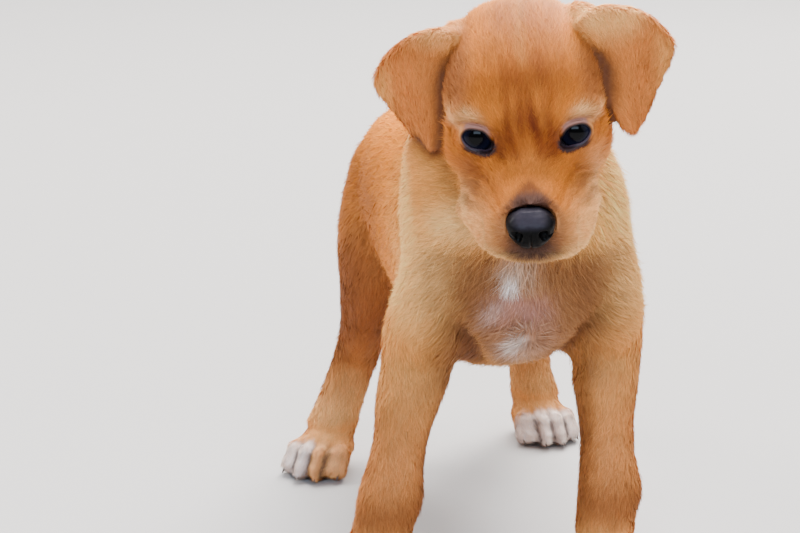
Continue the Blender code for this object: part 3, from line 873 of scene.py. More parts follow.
def coat_depth(body):
    """Depth of the coat over the hide, in millimetres."""
    muzzle = smooth(-14, -30, body.head[:, 1]) * body.share["head"]
    near_nose = np.linalg.norm(body.head - NOSE_MIDDLE, axis=1)
    return (body.pick(DEPTH) - 0.5 * muzzle) * (0.15 + 0.85 * smooth(14, 19, near_nose))


# ---------------------------------------------------------------- markings

WHITE_FLECKS = (  # on the chest: middle and reach in millimetres, and how white
    ((-7.5, -128, 169), (2.8, 40, 7.0), 0.9),
    ((-15, -126, 152), (4, 40, 8), 0.2),
    ((0.5, -116, 129), (2.6, 40, 6.0), 0.9),
    ((2, -110, 121), (9, 40, 5), 0.2),
)


TINTS = {  # colours of the finer marks, beside those in the settings
    "shank": (208, 134, 72),
    "paw": (236, 170, 100),
    # painted shade beside the ears
    "temple": (140, 82, 44),
    "brow": (255, 196, 128),
    "brow_end": (255, 194, 128),
    "inner_eye": (96, 36, 8),
    # painted light below the left eye and painted shade below the right, for the lit and the shaded side of the face
    "under_left_eye": (246, 172, 108),
    "under_right_eye": (168, 100, 62),
    "left_cheek": (255, 206, 150),
    "right_cheek": (250, 192, 136),
    "bridge": (186, 108, 52),
    "muzzle": (252, 184, 114),
    "nose_ring": (206, 138, 82),
    # painted shade in the furrows behind the cheeks and lips; the furrow tint also colours the smudge of dark hair
    # above the nose
    "furrow_side": (128, 74, 38),
    "furrow": (112, 60, 30),
    # painted shade in the folds below the eyes
    "fold": (118, 58, 20),
    "smudge": (66, 44, 40),
    "nose_edge": (96, 70, 60),
    "lip_shade": (60, 42, 40),
    "chin_specks": (56, 40, 38),
    "lip_line": (54, 28, 26),
    "upper_lid": (148, 114, 112),
    "under_lid": (72, 36, 24),
    "lower_lid": (44, 24, 30),
    "lid_rim": (16, 9, 12),
    "lid_gleam": (98, 76, 92),
    "tear_line": (50, 24, 18),
    # painted light on the tops of the ears
    "ear_top": (255, 190, 112),
    "ear_shade": (70, 34, 22),
    # brown of the breast, partly painted shade
    "breast": (134, 86, 58),
    "breast_shade": (92, 46, 22),
    "bald": (180, 126, 112),
    "thin": (178, 138, 120),
    "cream_flash": (238, 206, 180),
    "toe": (252, 234, 226),
    # painted shade in the clefts between the toes
    "toe_gap": (62, 38, 34),
    "sole_edge": (70, 54, 52),
}


def thin_patch(points, half_width, half_height):
    """The middle of the chest, where the coat is thin."""
    x, z = (points[:, (0, 2)] / MM).T
    return np.exp(-(((x + 2) / half_width) ** 4) - ((z - 154) / half_height) ** 4)


class Paint:
    """The colour of the coat at each point, built up from soft marks, and how bare the hide is."""

    def __init__(self, count):
        settings = coat_settings()
        shades = ("ground", "pale", "rust", "face", "ear", "cream", "white", "dark", "hide")
        self.tints = {name: np.array(getattr(settings, name)) for name in shades}
        self.tints.update({name: np.array(tone(*values)) for name, values in TINTS.items()})
        self.colour = np.tile(self.tints["ground"], (count, 1))
        self.bare = np.zeros(count)

    def lay(self, name, mask):
        m = np.clip(mask, 0, 1)[:, None]
        self.colour = self.colour * (1 - m) + self.tints[name] * m


def mark_body(lay, body, cloud):
    """Trunk, neck, shoulders, legs and paws: gold in front, deeper and redder towards the tail, with painted shade
    on the lower flank, the haunches and the inner sides of the front legs, and a painted highlight on the shoulders.
    """
    p, n, share = body.points, body.normals, body.share
    low, along = p[:, 2] / MM, p[:, 1] / MM
    torso = share["trunk"] + share["neck"]
    lay("pale", torso * smooth(-10, -95, along) * 0.8)
    # Deeper rust towards the tail, and painted shade on the lower flank.
    lay("rust", torso * smooth(-45, 20, along) * smooth(222, 180, low) * (0.54 + 0.06 * cloud))
    lay("rust", torso * smooth(0, 90, along) * 0.14)
    lay("cream", torso * smooth(-0.25, -0.8, n[:, 2]) * 0.35)
    # Painted highlight: cream on the upper sides of the shoulders, where the light from above falls.
    shoulder = torso * smooth(-50, -100, along) * smooth(120, 165, low)
    lay("cream", shoulder * (smooth(22, 50, p[:, 0] / MM) + smooth(-22, -45, p[:, 0] / MM)) * 0.5)
    legs = share["leg_front"] + share["leg_hind"]
    lay("shank", legs)
    lay("pale", share["leg_front"] * smooth(70, 150, low) * 0.65)
    # Deeper rust on the haunches and thighs, partly the coat's own colour and partly painted shade.
    lay("rust", share["leg_hind"] * smooth(45, 105, low) * 0.66)
    lay("cream", share["leg_hind"] * smooth(70, 34, low) * 0.4)
    lay("rust", share["leg_front"] * hump(low, WRIST_HEIGHT, 12) * smooth(0.2, -0.4, n[:, 1]) * 0.46)
    # Painted shade on the inner sides of the front legs, where they face each other.
    inward = n[:, 0] * np.where(p[:, 0] > BETWEEN_LEGS * MM, -1, 1)
    lay("rust", share["leg_front"] * smooth(0.45, 0.95, inward) * smooth(40, 60, low) * 0.4)
    lay("cream", legs * smooth(0.1, 0.8, n[:, 1]) * 0.25)
    lay("paw", share["paw_front"] + share["paw_hind"])


def mark_head(lay, body):
    """The crown with its dark streaks, painted shade at the sides of the head beside the ears, the brows, and the
    skin around the eyes with painted light below the left eye and painted shade below the right.
    """
    h, head = body.head, body.share["head"]
    x, y, z = h.T
    ax = np.abs(x)
    lay("face", head)
    lay("pale", head * smooth(40, 70, y) * 0.3)
    lay("ground", head * smooth(22, 44, z) * 0.5)
    # Painted shade at the sides of the head beside the ears.
    lay("temple", head * smooth(19, 32, ax) * smooth(2, 18, z) * 0.75)
    lay("pale", head * smooth(22, 33, ax) * smooth(-12, -30, z) * 0.55)
    width = 8.5 + 5.0 * hump(z, 2, 7) + 0.25 * np.maximum(z - 10, 0)
    fade = 0.35 * smooth(54, 40, z) + 0.65 * smooth(40, 10, z)
    stripe = smooth(1.7, 0.5, np.abs(x - 1) / width) * smooth(-8, -1, z) * fade
    streak = ripple(h * np.array([1, 0.25, 0.16]) * MM, 0.0052, 8)
    lay("rust", head * stripe * (0.66 + 0.24 * streak))
    lay("rust", head * hump(ax, 12.5, 5) * hump(z, 1, 7) * 0.7)
    lay("face", head * hump(x, 1, 3.0) * hump(z, -2, 6) * 0.4)
    lay("rust", head * smooth(26, 12, ax) * smooth(14, 26, z) * smooth(66, 50, y) * (0.26 + 0.10 * streak))
    lay("pale", head * hump(x, -0.5, 2.5) * smooth(28, 36, z) * smooth(60, 44, y) * 0.16)
    for s in (1, -1):
        brow = z - 12.0 + 0.045 * (ax - 25) ** 2
        lay("brow", head * (x * s > 0) * hump(brow, 0, 2.3) * hump(ax, 27, 8) * 0.92)
        lay("brow_end", head * spot(h, (34.5 * s, 6, 6.5), (2.8, 16, 4.5)) * 0.75)
        # Painted shade on the forehead beside each ear.
        lay("rust", head * spot(h, (24 * s, 2, 26), (10, 14, 6)) * 0.25)
        lay("rust", head * spot(h, (24 * s, -8, -12), (7, 12, 5)) * 0.35)
        lay("inner_eye", head * spot(h, (12.5 * s, -11, -3.2), (3.6, 12, 3.2)) * 0.6)
    # Painted light below the left eye, on the lit side of the face.
    lay("under_left_eye", head * spot(h, (31, -1, -14), (6, 14, 8)) * 0.5)
    lay("left_cheek", head * spot(h, (34, -8, -28), (6, 14, 9)) * 0.5)
    lay("right_cheek", head * spot(h, (-30, -15, -26), (5, 12, 8)) * 0.45)
    # Painted shade below the right eye, on the shaded side of the face.
    lay("under_right_eye", head * spot(h, (-27, -5, -13), (5, 12, 5)) * 0.4)


def mark_muzzle(lay, body):
    """Bridge, lips and cheeks, with the dark hair around the nose and along the mouth, and painted shade in the
    furrows behind the cheeks and in the folds below the eyes.
    """
    h, head = body.head, body.share["head"]
    x, y, z = h.T
    ax = np.abs(x)
    lay("bridge", head * smooth(-10, -20, y) * spot(h, (0, -22, -6), (9, 12, 8)) * 0.3)
    lay("muzzle", head * smooth(9, 22, ax) * smooth(-14, -30, z) * smooth(2, -16, y) * 0.72)
    lay("cream", head * smooth(-33, -40, z) * smooth(10, -6, y) * 0.6)
    lay("nose_ring", head * smooth(19, 13, np.linalg.norm(h - np.array([0, -43, -26]), axis=1)) * 0.7)
    rim = np.minimum(near_path(h, FLEW_EDGE[-1]), near_path(h, FLEW_EDGE[1]))
    lay("cream", head * hump(rim, 0, 2.0) * 0.6)
    # Painted shade in the furrows behind the cheeks and lips: broad and faint over the neck, narrow and deeper in
    # the furrow itself.
    lay("furrow_side", (head + body.share["neck"]) * flew_furrow(h, 4.5, 8.5) * 0.5)
    lay("furrow", head * flew_furrow(h, 2.6, 4.0) * 0.6)
    # Painted shade in the folds below each eye.
    for s in (1, -1):
        rib = cheek_fold(x * s, z)
        fold_shade = hump(rib, 0.6, 1.0) * hump(x * s, 25, 8) + hump(rib + 3.6, 0.6, 0.9) * hump(x * s, 27, 7)
        fold_shade = fold_shade + hump(rib + 7.0, 0.6, 1.0) * hump(x * s, 29, 5)
        lay("fold", head * (x * s > 0) * fold_shade * smooth(16, 4, y) * 0.6)
    wedge = 1.5 + 0.72 * np.maximum(-y - 28, 0)
    smudge = head * smooth(1.5, 0.5, np.abs(x) / wedge) * smooth(-24, -31, y) * smooth(-22, -16, z)
    lay("furrow", smudge * 0.75)
    lay("smudge", smudge * smooth(-31, -39, y) * 0.8)
    lay("nose_edge", head * spot(h, (0, -45, -24), (13.5, 9.0, 12.5)) * 0.7)
    lay("lip_shade", head * spot(h, (0, -44, -34.5), (14.5, 12, 8.5)) * 0.88)
    speck = smooth(0.1, 0.9, ripple(body.points, 0.0022, 21))
    lay("chin_specks", head * spot(h, (0, -42, -38.5), (14.5, 18, 6.0)) * (0.8 + 0.2 * speck))
    mouth = mouth_height(y)
    lay("lip_line", head * hump(z, mouth, 1.0) * smooth(20, 9, ax) * 0.9)
    lay("ear", head * hump(z, mouth, 1.2) * smooth(4, -4, y) * smooth(9, 20, ax) * 0.2)
    lay("dark", head * spot(h, (-34.3, -4.3, -23.5), (0.8, 9, 0.8)) * 0.9)


def mark_lids(paint, body):
    """The grey upper lids, the dark lower ones and their bare wet rims."""
    lay, head = paint.lay, body.share["head"]
    for side in SIDES:
        u, v, w = eye_space(body.points, side)
        away = lid_distance(u, v)
        ahead = smooth(-3, 0, w) * head
        upper, lower = smooth(0, 2.2, v), smooth(1.0, -1.5, v)
        lay("rust", ahead * hump(away, 5.2, 1.2) * smooth(0, 3, v) * 0.45)
        lay("upper_lid", ahead * smooth(5.4, 3.4, away) * upper * smooth(-8, -4.5, u) * smooth(8.2, 5.6, u) * 0.8)
        lay("under_lid", ahead * smooth(5.2, 2.8, away) * lower * smooth(7, 2, u) * 0.75)
        lay("lower_lid", ahead * smooth(3.4, 2.2, away) * lower * smooth(8, 3, u) * 0.9)
        lay("lid_rim", ahead * smooth(1.7, 0.9, away) * 0.97)
        lay("lid_gleam", ahead * hump(away, 0.3, 0.35) * smooth(-1, -3, v) * 0.6)
        lay("tear_line", ahead * spot(np.stack([u, v, w], 1), (-10.6, -3.6, 8), (3.6, 2.0, 7)) * 0.9)
        paint.bare = np.maximum(paint.bare, ahead * smooth(2.6 + 1.6 * upper, 1.6 + 1.4 * upper, away))


def mark_ears(lay, body):
    """Brown ears with painted light on their tops, paler tips, and painted shade behind them."""
    x, _, z = body.head.T
    for side, sign in SIDES.items():
        part = body.share["ear_" + side]
        lay("ear", part)
        # Painted light on the tops of the ears, where the light from above falls.
        lay("ear_top", part * smooth(26, 44, z) * 0.85)
        lay("pale", part * smooth(64, 76, x * sign) * 0.55)
        lay("rust", part * smooth(56, 42, x * sign) * smooth(36, 18, z) * 0.26)
    lay("ear_shade", ear_gap(body) * 0.85)


def mark_chest(lay, body):
    """The breast, brown partly from its hair and partly as painted shade, painted shade in its creases and under the
    jaw, the thin pinkish middle and the white flash and whorl.
    """
    p, share = body.points, body.share
    across, low = p[:, 0] / MM, p[:, 2] / MM
    torso = share["trunk"] + share["neck"]
    front = smooth(-0.15, -0.65, body.normals[:, 1])
    breast = np.exp(-(((across - 3) / 50) ** 4)) * smooth(198, 180, low) * smooth(96, 110, low) * front
    breast = breast * (torso + share["leg_front"]) * (1 - 0.5 * smooth(180, 192, low))
    # The breast's brown is partly its hair and partly painted shade on the front of the chest below the jaw.
    lay("breast", breast * 0.8)
    for lobe, reach in ((-24, 14), (31, 15)):
        lay("breast_shade", breast * hump(across, lobe, reach) * hump(low, 163, 22) * 0.62)
    lay("breast_shade", chest_creases(p, 5.5) * 0.75)
    bald = thin_patch(p, 15, 12) * front
    lay("bald", bald * (0.75 + 0.15 * ripple(p, 0.012, 12)))
    lay("thin", breast * hump(across, 3, 15) * hump(low, 131, 12) * 0.5)
    lay("cream_flash", torso * spot(p / MM, (-3, -128, 178), (8.0, 40, 9)) * 0.75)
    for centre, radii, whiteness in WHITE_FLECKS:
        lay("white", torso * spot(p / MM, centre, radii) * whiteness)


def mark_toes(lay, body):
    """White toes with a ragged edge, painted shade in the clefts between them and a dark edge at the floor."""
    for foot in FEET:
        kind = foot.split("_")[0]
        x, y, z = (moved(foot_matrix(foot).inverted(), body.points) / MM).T
        part = body.share["paw_" + kind] * (np.hypot(x, y) < 40)
        ragged = 2.0 * ripple(body.points, 0.005, 17)
        reach = smooth(-2, -11, y + 0.35 * (z - 14) + ragged) * smooth(27, 20, z)
        if foot == "hind_right":  # its two inner toes are tan
            reach = reach * (0.08 + 0.92 * smooth(1.0, -1.5, x))
        if kind == "front":
            reach = reach * 0.8
        lay("toe", part * reach * 0.95)
        # Painted shade in the clefts between the toes.
        for k in TOE_GAPS:
            gap = hump(x, k * PAW_HALF_WIDTH, 1.5) * smooth(-8, -13, y) * smooth(22, 15, z)
            lay("toe_gap", part * gap * 0.9)
        lay("sole_edge", part * smooth(2.2, 0.6, z) * 0.8)


def markings(body):
    """The colour of the coat at each point of the hide, and how bare the hide is there."""
    paint = Paint(len(body.points))
    cloud = ripple(body.points, 0.05, 3)
    mark_body(paint.lay, body, cloud)
    mark_head(paint.lay, body)
    mark_muzzle(paint.lay, body)
    mark_lids(paint, body)
    mark_ears(paint.lay, body)
    mark_chest(paint.lay, body)
    mark_toes(paint.lay, body)
    shade = 1 + 0.06 * cloud + 0.05 * ripple(body.points, 0.014, 5)
    x, y, z = body.head.T
    by_nose = smooth(12.2, 10.8, np.linalg.norm(body.head - NOSE_MIDDLE, axis=1)) * 0.6
    by_mouth = body.share["head"] * hump(z, mouth_height(y), 0.9) * smooth(18, 9, np.abs(x))
    bare = np.maximum(np.maximum(paint.bare, by_nose), by_mouth)
    return np.clip(paint.colour * shade[:, None], 0, 1), bare


# ---------------------------------------------------------------- lie of the coat


def lie_of_coat(body):
    """Direction in which the hair lies at each point of the hide."""
    p, n, h = body.points, body.normals, body.head
    count = len(p)
    d = np.zeros((count, 3))
    turn = HEAD.to_3x3()

    def add(region, directions):
        nonlocal d
        d = d + body.share[region][:, None] * unit(directions)

    from_nose = h - np.array([0, -52, -26])
    from_nose[:, 2] *= 0.9
    cheeks = smooth(-6, -26, h[:, 2]) * smooth(-34, -10, h[:, 1])
    from_nose[:, 2] -= cheeks * 30
    add("head", turned(turn, from_nose))
    for side, s in SIDES.items():
        tip = np.array([53 * s, 18, -16 if side == "left" else -26])
        add("ear_" + side, turned(turn, tip - h))
    flow = np.zeros((count, 3))
    chest = smooth(-0.1, -0.7, n[:, 1]) * smooth(-60, -100, p[:, 1] / MM)
    high = p[:, 2] / MM
    side = np.clip((p[:, 0] / MM - 3) / 30, -1.2, 1.2)
    flow[:, 1] = 1.0 - 1.0 * chest
    shoulder = smooth(-10, -70, p[:, 1] / MM) * (1 - chest)
    flow[:, 2] = -0.38 - 0.6 * shoulder - chest * (0.1 + 0.9 * smooth(130, 175, high))
    flow[:, 0] = chest * side * 1.1
    whorl = (p / MM - np.array([4, -118, 132])) * np.array([1, 0, 1])
    flow += (1.3 * chest * np.exp(-((np.linalg.norm(whorl, axis=1) / 10) ** 2)))[:, None] * unit(whorl)
    add("trunk", flow)
    throat = np.zeros((count, 3))
    under = smooth(0.2, -0.5, n[:, 1])
    throat[:, 0] = side * 0.8 * under
    throat[:, 1] = 0.9 - 0.7 * under
    throat[:, 2] = -0.7 - 0.3 * under
    add("neck", throat)
    tail_low, tail_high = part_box("tail")
    tip = np.array([middle("tail").x, tail_high.y, tail_low.z])
    add("tail", tip - p + np.array([0, 0.02, 0]))
    for foot in FEET:
        kind = foot.split("_")[0]
        paw = np.array(middle("paw_" + foot))
        reach = 1.0 / (0.0009 + ((p[:, :2] - paw[:2]) ** 2).sum(1))
        leg = paw - p
        leg[:, 2] = np.minimum(leg[:, 2], -0.05)
        d = d + (body.share["leg_" + kind] * np.minimum(reach / 300, 1))[:, None] * unit(leg)
        ahead = np.array(foot_matrix(foot).to_3x3() @ Vector((0, -1, -0.5)))
        near = (np.linalg.norm(p[:, :2] - paw[:2], axis=1) < 0.04).astype(float)
        d = d + (body.share["paw_" + kind] * near)[:, None] * ahead
    wobble = np.stack([ripple(p, 0.03, 41 + k) for k in range(3)], 1)
    d = unit(d) + 0.16 * wobble
    d = d - n * (d * n).sum(1)[:, None]
    d = body.net.soften(unit(d), 6)
    d = d - n * (d * n).sum(1)[:, None]
    return unit(d)


def coat_shape(body):
    """Length, width, closeness, lift and variety of the tufts, in the units of the regions' rows."""
    h, share = body.head, body.share
    length, width, close, lift, vary = (body.pick(k) for k in (LENGTH, WIDTH, CLOSENESS, LIFT, VARIETY))
    head = share["head"]
    length = length - head * 2.6 * smooth(-6, -28, h[:, 1]) + head * 2.0 * smooth(20, 50, h[:, 1])
    length = length + head * 2.0 * smooth(30, 38, np.abs(h[:, 0]))
    length = length + 2.5 * (share["trunk"] + share["neck"]) * smooth(-70, -110, body.points[:, 1] / MM)
    for side in SIDES:
        u, v, w = eye_space(body.points, side)
        away = lid_distance(u, v)
        near = smooth(9, 3, away) * smooth(-3, 0, w) * head
        length = length * (1 - 0.62 * near)
        width = width * (1 - 0.3 * near)
    bald = thin_patch(body.points, 14, 11) * smooth(-0.1, -0.5, body.normals[:, 1])
    length = length * (1 - 0.6 * bald) * (1 - 0.75 * ear_gap(body))
    length = length * (1 - 0.5 * np.clip(4 * share["trunk"] * share["tail"], 0, 1))
    close = close * (1 - 0.6 * bald)
    return length, width, close, lift, vary


COAT_PIECES = {
    "coat_face": ["head"],
    "coat_ears": ["ear_left", "ear_right"],
    "coat_neck": ["neck"],
    "coat_trunk": ["trunk"],
    "coat_legs": ["leg_front", "leg_hind"],
    "coat_paws_and_tail": ["paw_front", "paw_hind", "tail"],
}
LARGEST_PIECE = 96000  # tufts, of two triangles each
ROOT_TO_TIP = np.array([0.74, 0.96, 0.96, 1.12])  # how bright a tuft is at its root, its two sides and its tip
PATCH = np.array([[0, -0.0015], [-0.0012, 0.0], [0.0012, 0.0], [0, 0.0015]])  # one tuft's place on the unwrap
STRAY = 0.13  # how far single tufts turn from the lie of the coat


def tufts(name, root, along, out, length, width, lift, vary, colour, flat, rng):
    """Thin tufts, each a blade that widens from its root, bends over at its middle and ends in a point."""
    count = len(root)
    side = unit(np.cross(out, along))
    roll = rng.normal(0, 0.5, count)
    face = out * np.cos(roll)[:, None] + side * np.sin(roll)[:, None]
    across = unit(np.cross(face, along))
    size = (length * rng.uniform(0.7, 1.2, count) * MM)[:, None]
    rise = np.abs(lift * (1 + 0.6 * rng.normal(size=count)))[:, None]
    half = (width * rng.uniform(0.75, 1.3, count) * MM / 2)[:, None]
    bend = (rng.normal(0, 0.10, count))[:, None] * side
    base = root - out * 0.0004
    mid = base + (along + bend) * size * 0.42 + out * (rise * size * 0.55 + 0.0003)
    tip = base + (along + bend * 2.2) * size + out * (rise * size * 0.85 + 0.0004)
    points = np.stack([base, mid - across * half, mid + across * half, tip], 1)
    points[..., 2] = np.maximum(points[..., 2], 0.2 * MM)
    first = np.arange(count) * 4
    loops = (first[:, None] + np.array([0, 1, 2, 2, 1, 3])).ravel()
    starts = np.arange(count * 2) * 3
    mesh = mesh_from(name, points.reshape(-1, 3), loops, starts, np.full(count * 2, 3))
    light = np.clip(rng.normal(0, 1, count), -2, 2) * vary
    warm = rng.normal(0, 0.03, count)
    tint = colour * (1 + light[:, None] * np.array([1.0, 1.25, 1.5]))
    tint = tint * (1 + np.stack([warm, 0 * warm, -1.6 * warm], 1))
    shades = np.clip(tint[:, None, :] * ROOT_TO_TIP[None, :, None], 0, 1).reshape(-1, 3)
    paint_points(mesh, "coat", shades)
    map_points = (flat[:, None, :] + PATCH[None]).reshape(-1, 2)
    layer = mesh.uv_layers.new(name="OFBake")
    layer.data.foreach_set("uv", map_points[loops].astype(np.float32).ravel())
    lean = unit(out[:, None] + 0.35 * face[:, None] + np.array([0, 0.1, 0.1, 0.2])[:, None] * along[:, None])
    mesh.normals_split_custom_set_from_vertices(lean.reshape(-1, 3).astype(np.float32))
    return mesh


def unwrapped(obj):
    """A flat plan of the hide for the roots, cut where the hide turns sharply."""
    select_only(obj)
    bpy.ops.object.mode_set(mode="EDIT")
    bpy.ops.mesh.select_all(action="SELECT")
    bpy.ops.uv.smart_project(angle_limit=math.radians(66), island_margin=0.004)
    bpy.ops.object.mode_set(mode="OBJECT")
    uv = np.empty(len(obj.data.loops) * 2, np.float32)
    obj.data.uv_layers.active.data.foreach_get("uv", uv)
    return uv.reshape(-1, 2).astype(float)


def grow_coat(obj, body, colour, bare):
    """All the coat's pieces, rooted over the whole hide."""
    mesh = obj.data
    mesh.calc_loop_triangles()
    count = len(mesh.loop_triangles)
    corner = np.empty(count * 3, np.int32)
    loops = np.empty(count * 3, np.int32)
    mesh.loop_triangles.foreach_get("vertices", corner)
    mesh.loop_triangles.foreach_get("loops", loops)
    corner, loops = corner.reshape(-1, 3), loops.reshape(-1, 3)
    flat = unwrapped(obj)
    hidden = np.empty(len(mesh.vertices), np.float32)
    mesh.attributes["hidden"].data.foreach_get("value", hidden)
    lie = lie_of_coat(body)
    length, width, close, lift, vary = coat_shape(body)
    close = close * (1 - smooth(0.1, 0.7, bare)) * (1 - hidden)
    p, n = body.points, body.normals
    a, b, c = p[corner[:, 0]], p[corner[:, 1]], p[corner[:, 2]]
    area = np.linalg.norm(np.cross(b - a, c - a), axis=1) / 2 / MM**2
    expected = area * close[corner].mean(1) * coat_settings().closeness
    expected[(hidden[corner] > 0.3).any(1)] = 0
    shares = np.stack([body.share[r] for r in REGIONS], 1)[corner].mean(1)
    owner = shares.argmax(1)
    made = []
    for order, (name, regions) in enumerate(COAT_PIECES.items()):
        rng = np.random.default_rng(100 + order)
        mine = np.isin(owner, [REGION_NAMES.index(r) for r in regions])
        weight = np.where(mine, expected, 0)
        number = int(weight.sum())
        parts = max(1, math.ceil(number / LARGEST_PIECE))
        sums = np.cumsum(weight)
        for part in range(parts):
            amount = number // parts
            pick = np.searchsorted(sums, (np.arange(amount) + rng.random(amount)) / amount * sums[-1])
            pick = np.minimum(pick, count - 1)
            r1, r2 = np.sqrt(rng.random(amount)), rng.random(amount)
            bary = np.stack([1 - r1, r1 * (1 - r2), r1 * r2], 1)

            def at(values):
                got = values[corner[pick]]
                return (got * bary[..., None]).sum(1) if got.ndim == 3 else (got * bary).sum(1)

            out = unit(at(n))
            along = unit(at(lie) + rng.normal(0, STRAY, (amount, 3)))
            along = unit(along - out * (along * out).sum(1)[:, None])
            flat_root = (flat[loops[pick]] * bary[..., None]).sum(1)
            title = name if parts == 1 else f"{name}_{part + 1}"
            piece = tufts(
                title, at(p), along, out, at(length), at(width), at(lift), at(vary), at(colour), flat_root, rng
            )
            made.append(link(title, piece))
    return made


# ---------------------------------------------------------------- materials


def hide_material():
    web = Web("hide")
    coat = web.colour("coat")
    fine = web.noise(900.0, 4.0)
    broad = web.noise(120.0, 3.0)
    share = web.value("bare")
    mottled = web.mix((fine - 0.5) * 0.5 + 0.5, web.mix(1.0, coat, (0.62, 0.58, 0.56, 1), "MULTIPLY"), coat)
    pores = web.node("ShaderNodeTexVoronoi", {}, {"Vector": web.place(), "Scale": 1100.0})
    web.feed(
        Base_Color=mottled,
        Roughness=0.78 - share * 0.30 + (broad - 0.5) * 0.1,
        Normal=web.bump(fine * 0.7 + pores * 0.3, 0.35, 0.0004),
    )
    web.shader.inputs["Specular IOR Level"].default_value = 0.25
    return web.material


def coat_material():
    web = Web("coat")
    coat = web.colour("coat")
    strand = web.noise(650.0, 2.0)
    patchy = web.noise(70.0, 3.0)
    tinted = web.mix(patchy * 0.35, coat, web.mix(1.0, coat, (1.12, 0.98, 0.86, 1), "MULTIPLY"))
    web.feed(
        Base_Color=web.mix(strand * 0.3, tinted, web.mix(1.0, tinted, (0.72, 0.66, 0.62, 1), "MULTIPLY")),
        Roughness=0.56 + strand * 0.16,
    )
    web.shader.inputs["Specular IOR Level"].default_value = 0.14
    return web.material


def eye_material(side):
    web = Web("eyeball_" + side)
    ring = web.value("ring")
    grain = web.noise(1400.0, 3.0)
    # The iris ring is dark, and its navy tint is a painted reflection of the sky.
    iris_and_sky_reflection = web.node(
        "ShaderNodeValToRGB",
        {
            "stops": [
                (0.0, (0.001, 0.001, 0.001, 1)),
                (0.40, (0.001, 0.001, 0.0015, 1)),
                (0.52, (0.003, 0.003, 0.007, 1)),
                (0.80, (0.006, 0.007, 0.018, 1)),
                (0.92, (0.002, 0.002, 0.006, 1)),
                (1.0, (0.05, 0.04, 0.045, 1)),
            ]
        },
        {0: ring + (grain - 0.5) * 0.05},
    )
    web.feed(Base_Color=iris_and_sky_reflection, Roughness=0.12 + grain * 0.04)
    web.shader.inputs["Specular IOR Level"].default_value = 0.0
    web.shader.inputs["Coat Weight"].default_value = 1.0
    web.shader.inputs["Coat IOR"].default_value = 1.18
    web.shader.inputs["Coat Roughness"].default_value = 0.02
    return web.material


def nose_material():
    web = Web("nose_leather")
    cells = web.node("ShaderNodeTexVoronoi", {"feature": "SMOOTH_F1"}, {"Vector": web.place(), "Scale": 1500.0})
    grain = web.noise(420.0, 4.0)
    # A painted highlight: the top of the nose is mixed towards a lighter blue-grey.
    worn = web.value("worn")
    web.feed(
        Base_Color=web.mix(worn * (0.55 + grain * 0.4), (0.0008, 0.0007, 0.0007, 1), (0.046, 0.038, 0.052, 1)),
        Roughness=0.40 + grain * 0.16 + cells * 0.08,
        Normal=web.bump(cells * 0.8 + grain * 0.2, 0.28, 0.0003),
    )
    web.shader.inputs["Specular IOR Level"].default_value = 0.05
    web.shader.inputs["Coat Weight"].default_value = 0.28
    web.shader.inputs["Coat IOR"].default_value = 1.16
    web.shader.inputs["Coat Roughness"].default_value = 0.2
    return web.material


def claw_material():
    web = Web("claw_horn")
    streaks = web.noise(700.0, 3.0)
    web.feed(
        Base_Color=web.mix(streaks, (0.030, 0.020, 0.016, 1), (0.16, 0.11, 0.085, 1)),
        Roughness=0.32 + streaks * 0.15,
    )
    return web.material


def floor_material():
    web = Web("pale_floor")
    wide = web.noise(1.3, 4.0)
    fine = web.noise(60.0, 3.0)
    web.feed(
        Base_Color=web.mix(wide * 0.4 + fine * 0.1, (0.385, 0.365, 0.352, 1), (0.425, 0.405, 0.392, 1)),
        Roughness=0.78 + fine * 0.1,
    )
    return web.material


# ---------------------------------------------------------------- operators


def active_from(operator, *args, **settings):
    bpy.ops.object.select_all(action="DESELECT")
    operator(*args, **settings)
    return bpy.context.object


class MakeHide(bpy.types.Operator):
    """One hide over all the flesh, with lids, lips and folds, and the coat rooted in it"""

    bl_idname = "puppy.hide_and_coat"
    bl_label = "Hide and coat"

    def execute(self, context):
        obj = build_hide()
        tree, owners = flesh_tree()
        body = Body(obj.data, tree, owners)
        colour, bare = markings(body)
        paint_points(obj.data, "coat", colour)
        paint_value(obj.data, "bare", bare)
        coat = grow_coat(obj, body, colour, bare)
        material = coat_material()
        for piece in coat:
            settle(piece, material, "coat")
        obj.data.attributes.remove(obj.data.attributes["hidden"])
        settle(obj, hide_material(), "coat", *FLESH)
        return {"FINISHED"}


class MakeEyes(bpy.types.Operator):
    """Two glossy dark eyeballs with a raised cornea"""

    bl_idname = "puppy.eyes"
    bl_label = "Eyes"

    def execute(self, context):
        for side in SIDES:
            ball = active_from(
                bpy.ops.mesh.primitive_uv_sphere_add, segments=64, ring_count=40, radius=EYE_RADIUS
            )
            ball.name = "eyeball_" + side
            ball.data.name = ball.name
            w = eye_frame(side)[2]
            turn = w.to_track_quat("Z", "Y").to_matrix().to_4x4()
            points = points_of(ball.data)
            reach = np.hypot(points[:, 0], points[:, 1]) / EYE_RADIUS
            ring = np.where(points[:, 2] > 0, reach, 2.0 - reach)
            points[:, 2] += 0.35 * MM * smooth(0.9, 0.1, ring) * (points[:, 2] > 0)
            set_points(ball.data, points)
            paint_value(ball.data, "ring", np.clip(ring / 0.86, 0, 1))
            ball.data.transform(Matrix.Translation(EYES[side]) @ turn)
            shade_smooth(ball.data)
            settle(ball, eye_material(side), "eyes", "eye_" + side)
        return {"FINISHED"}


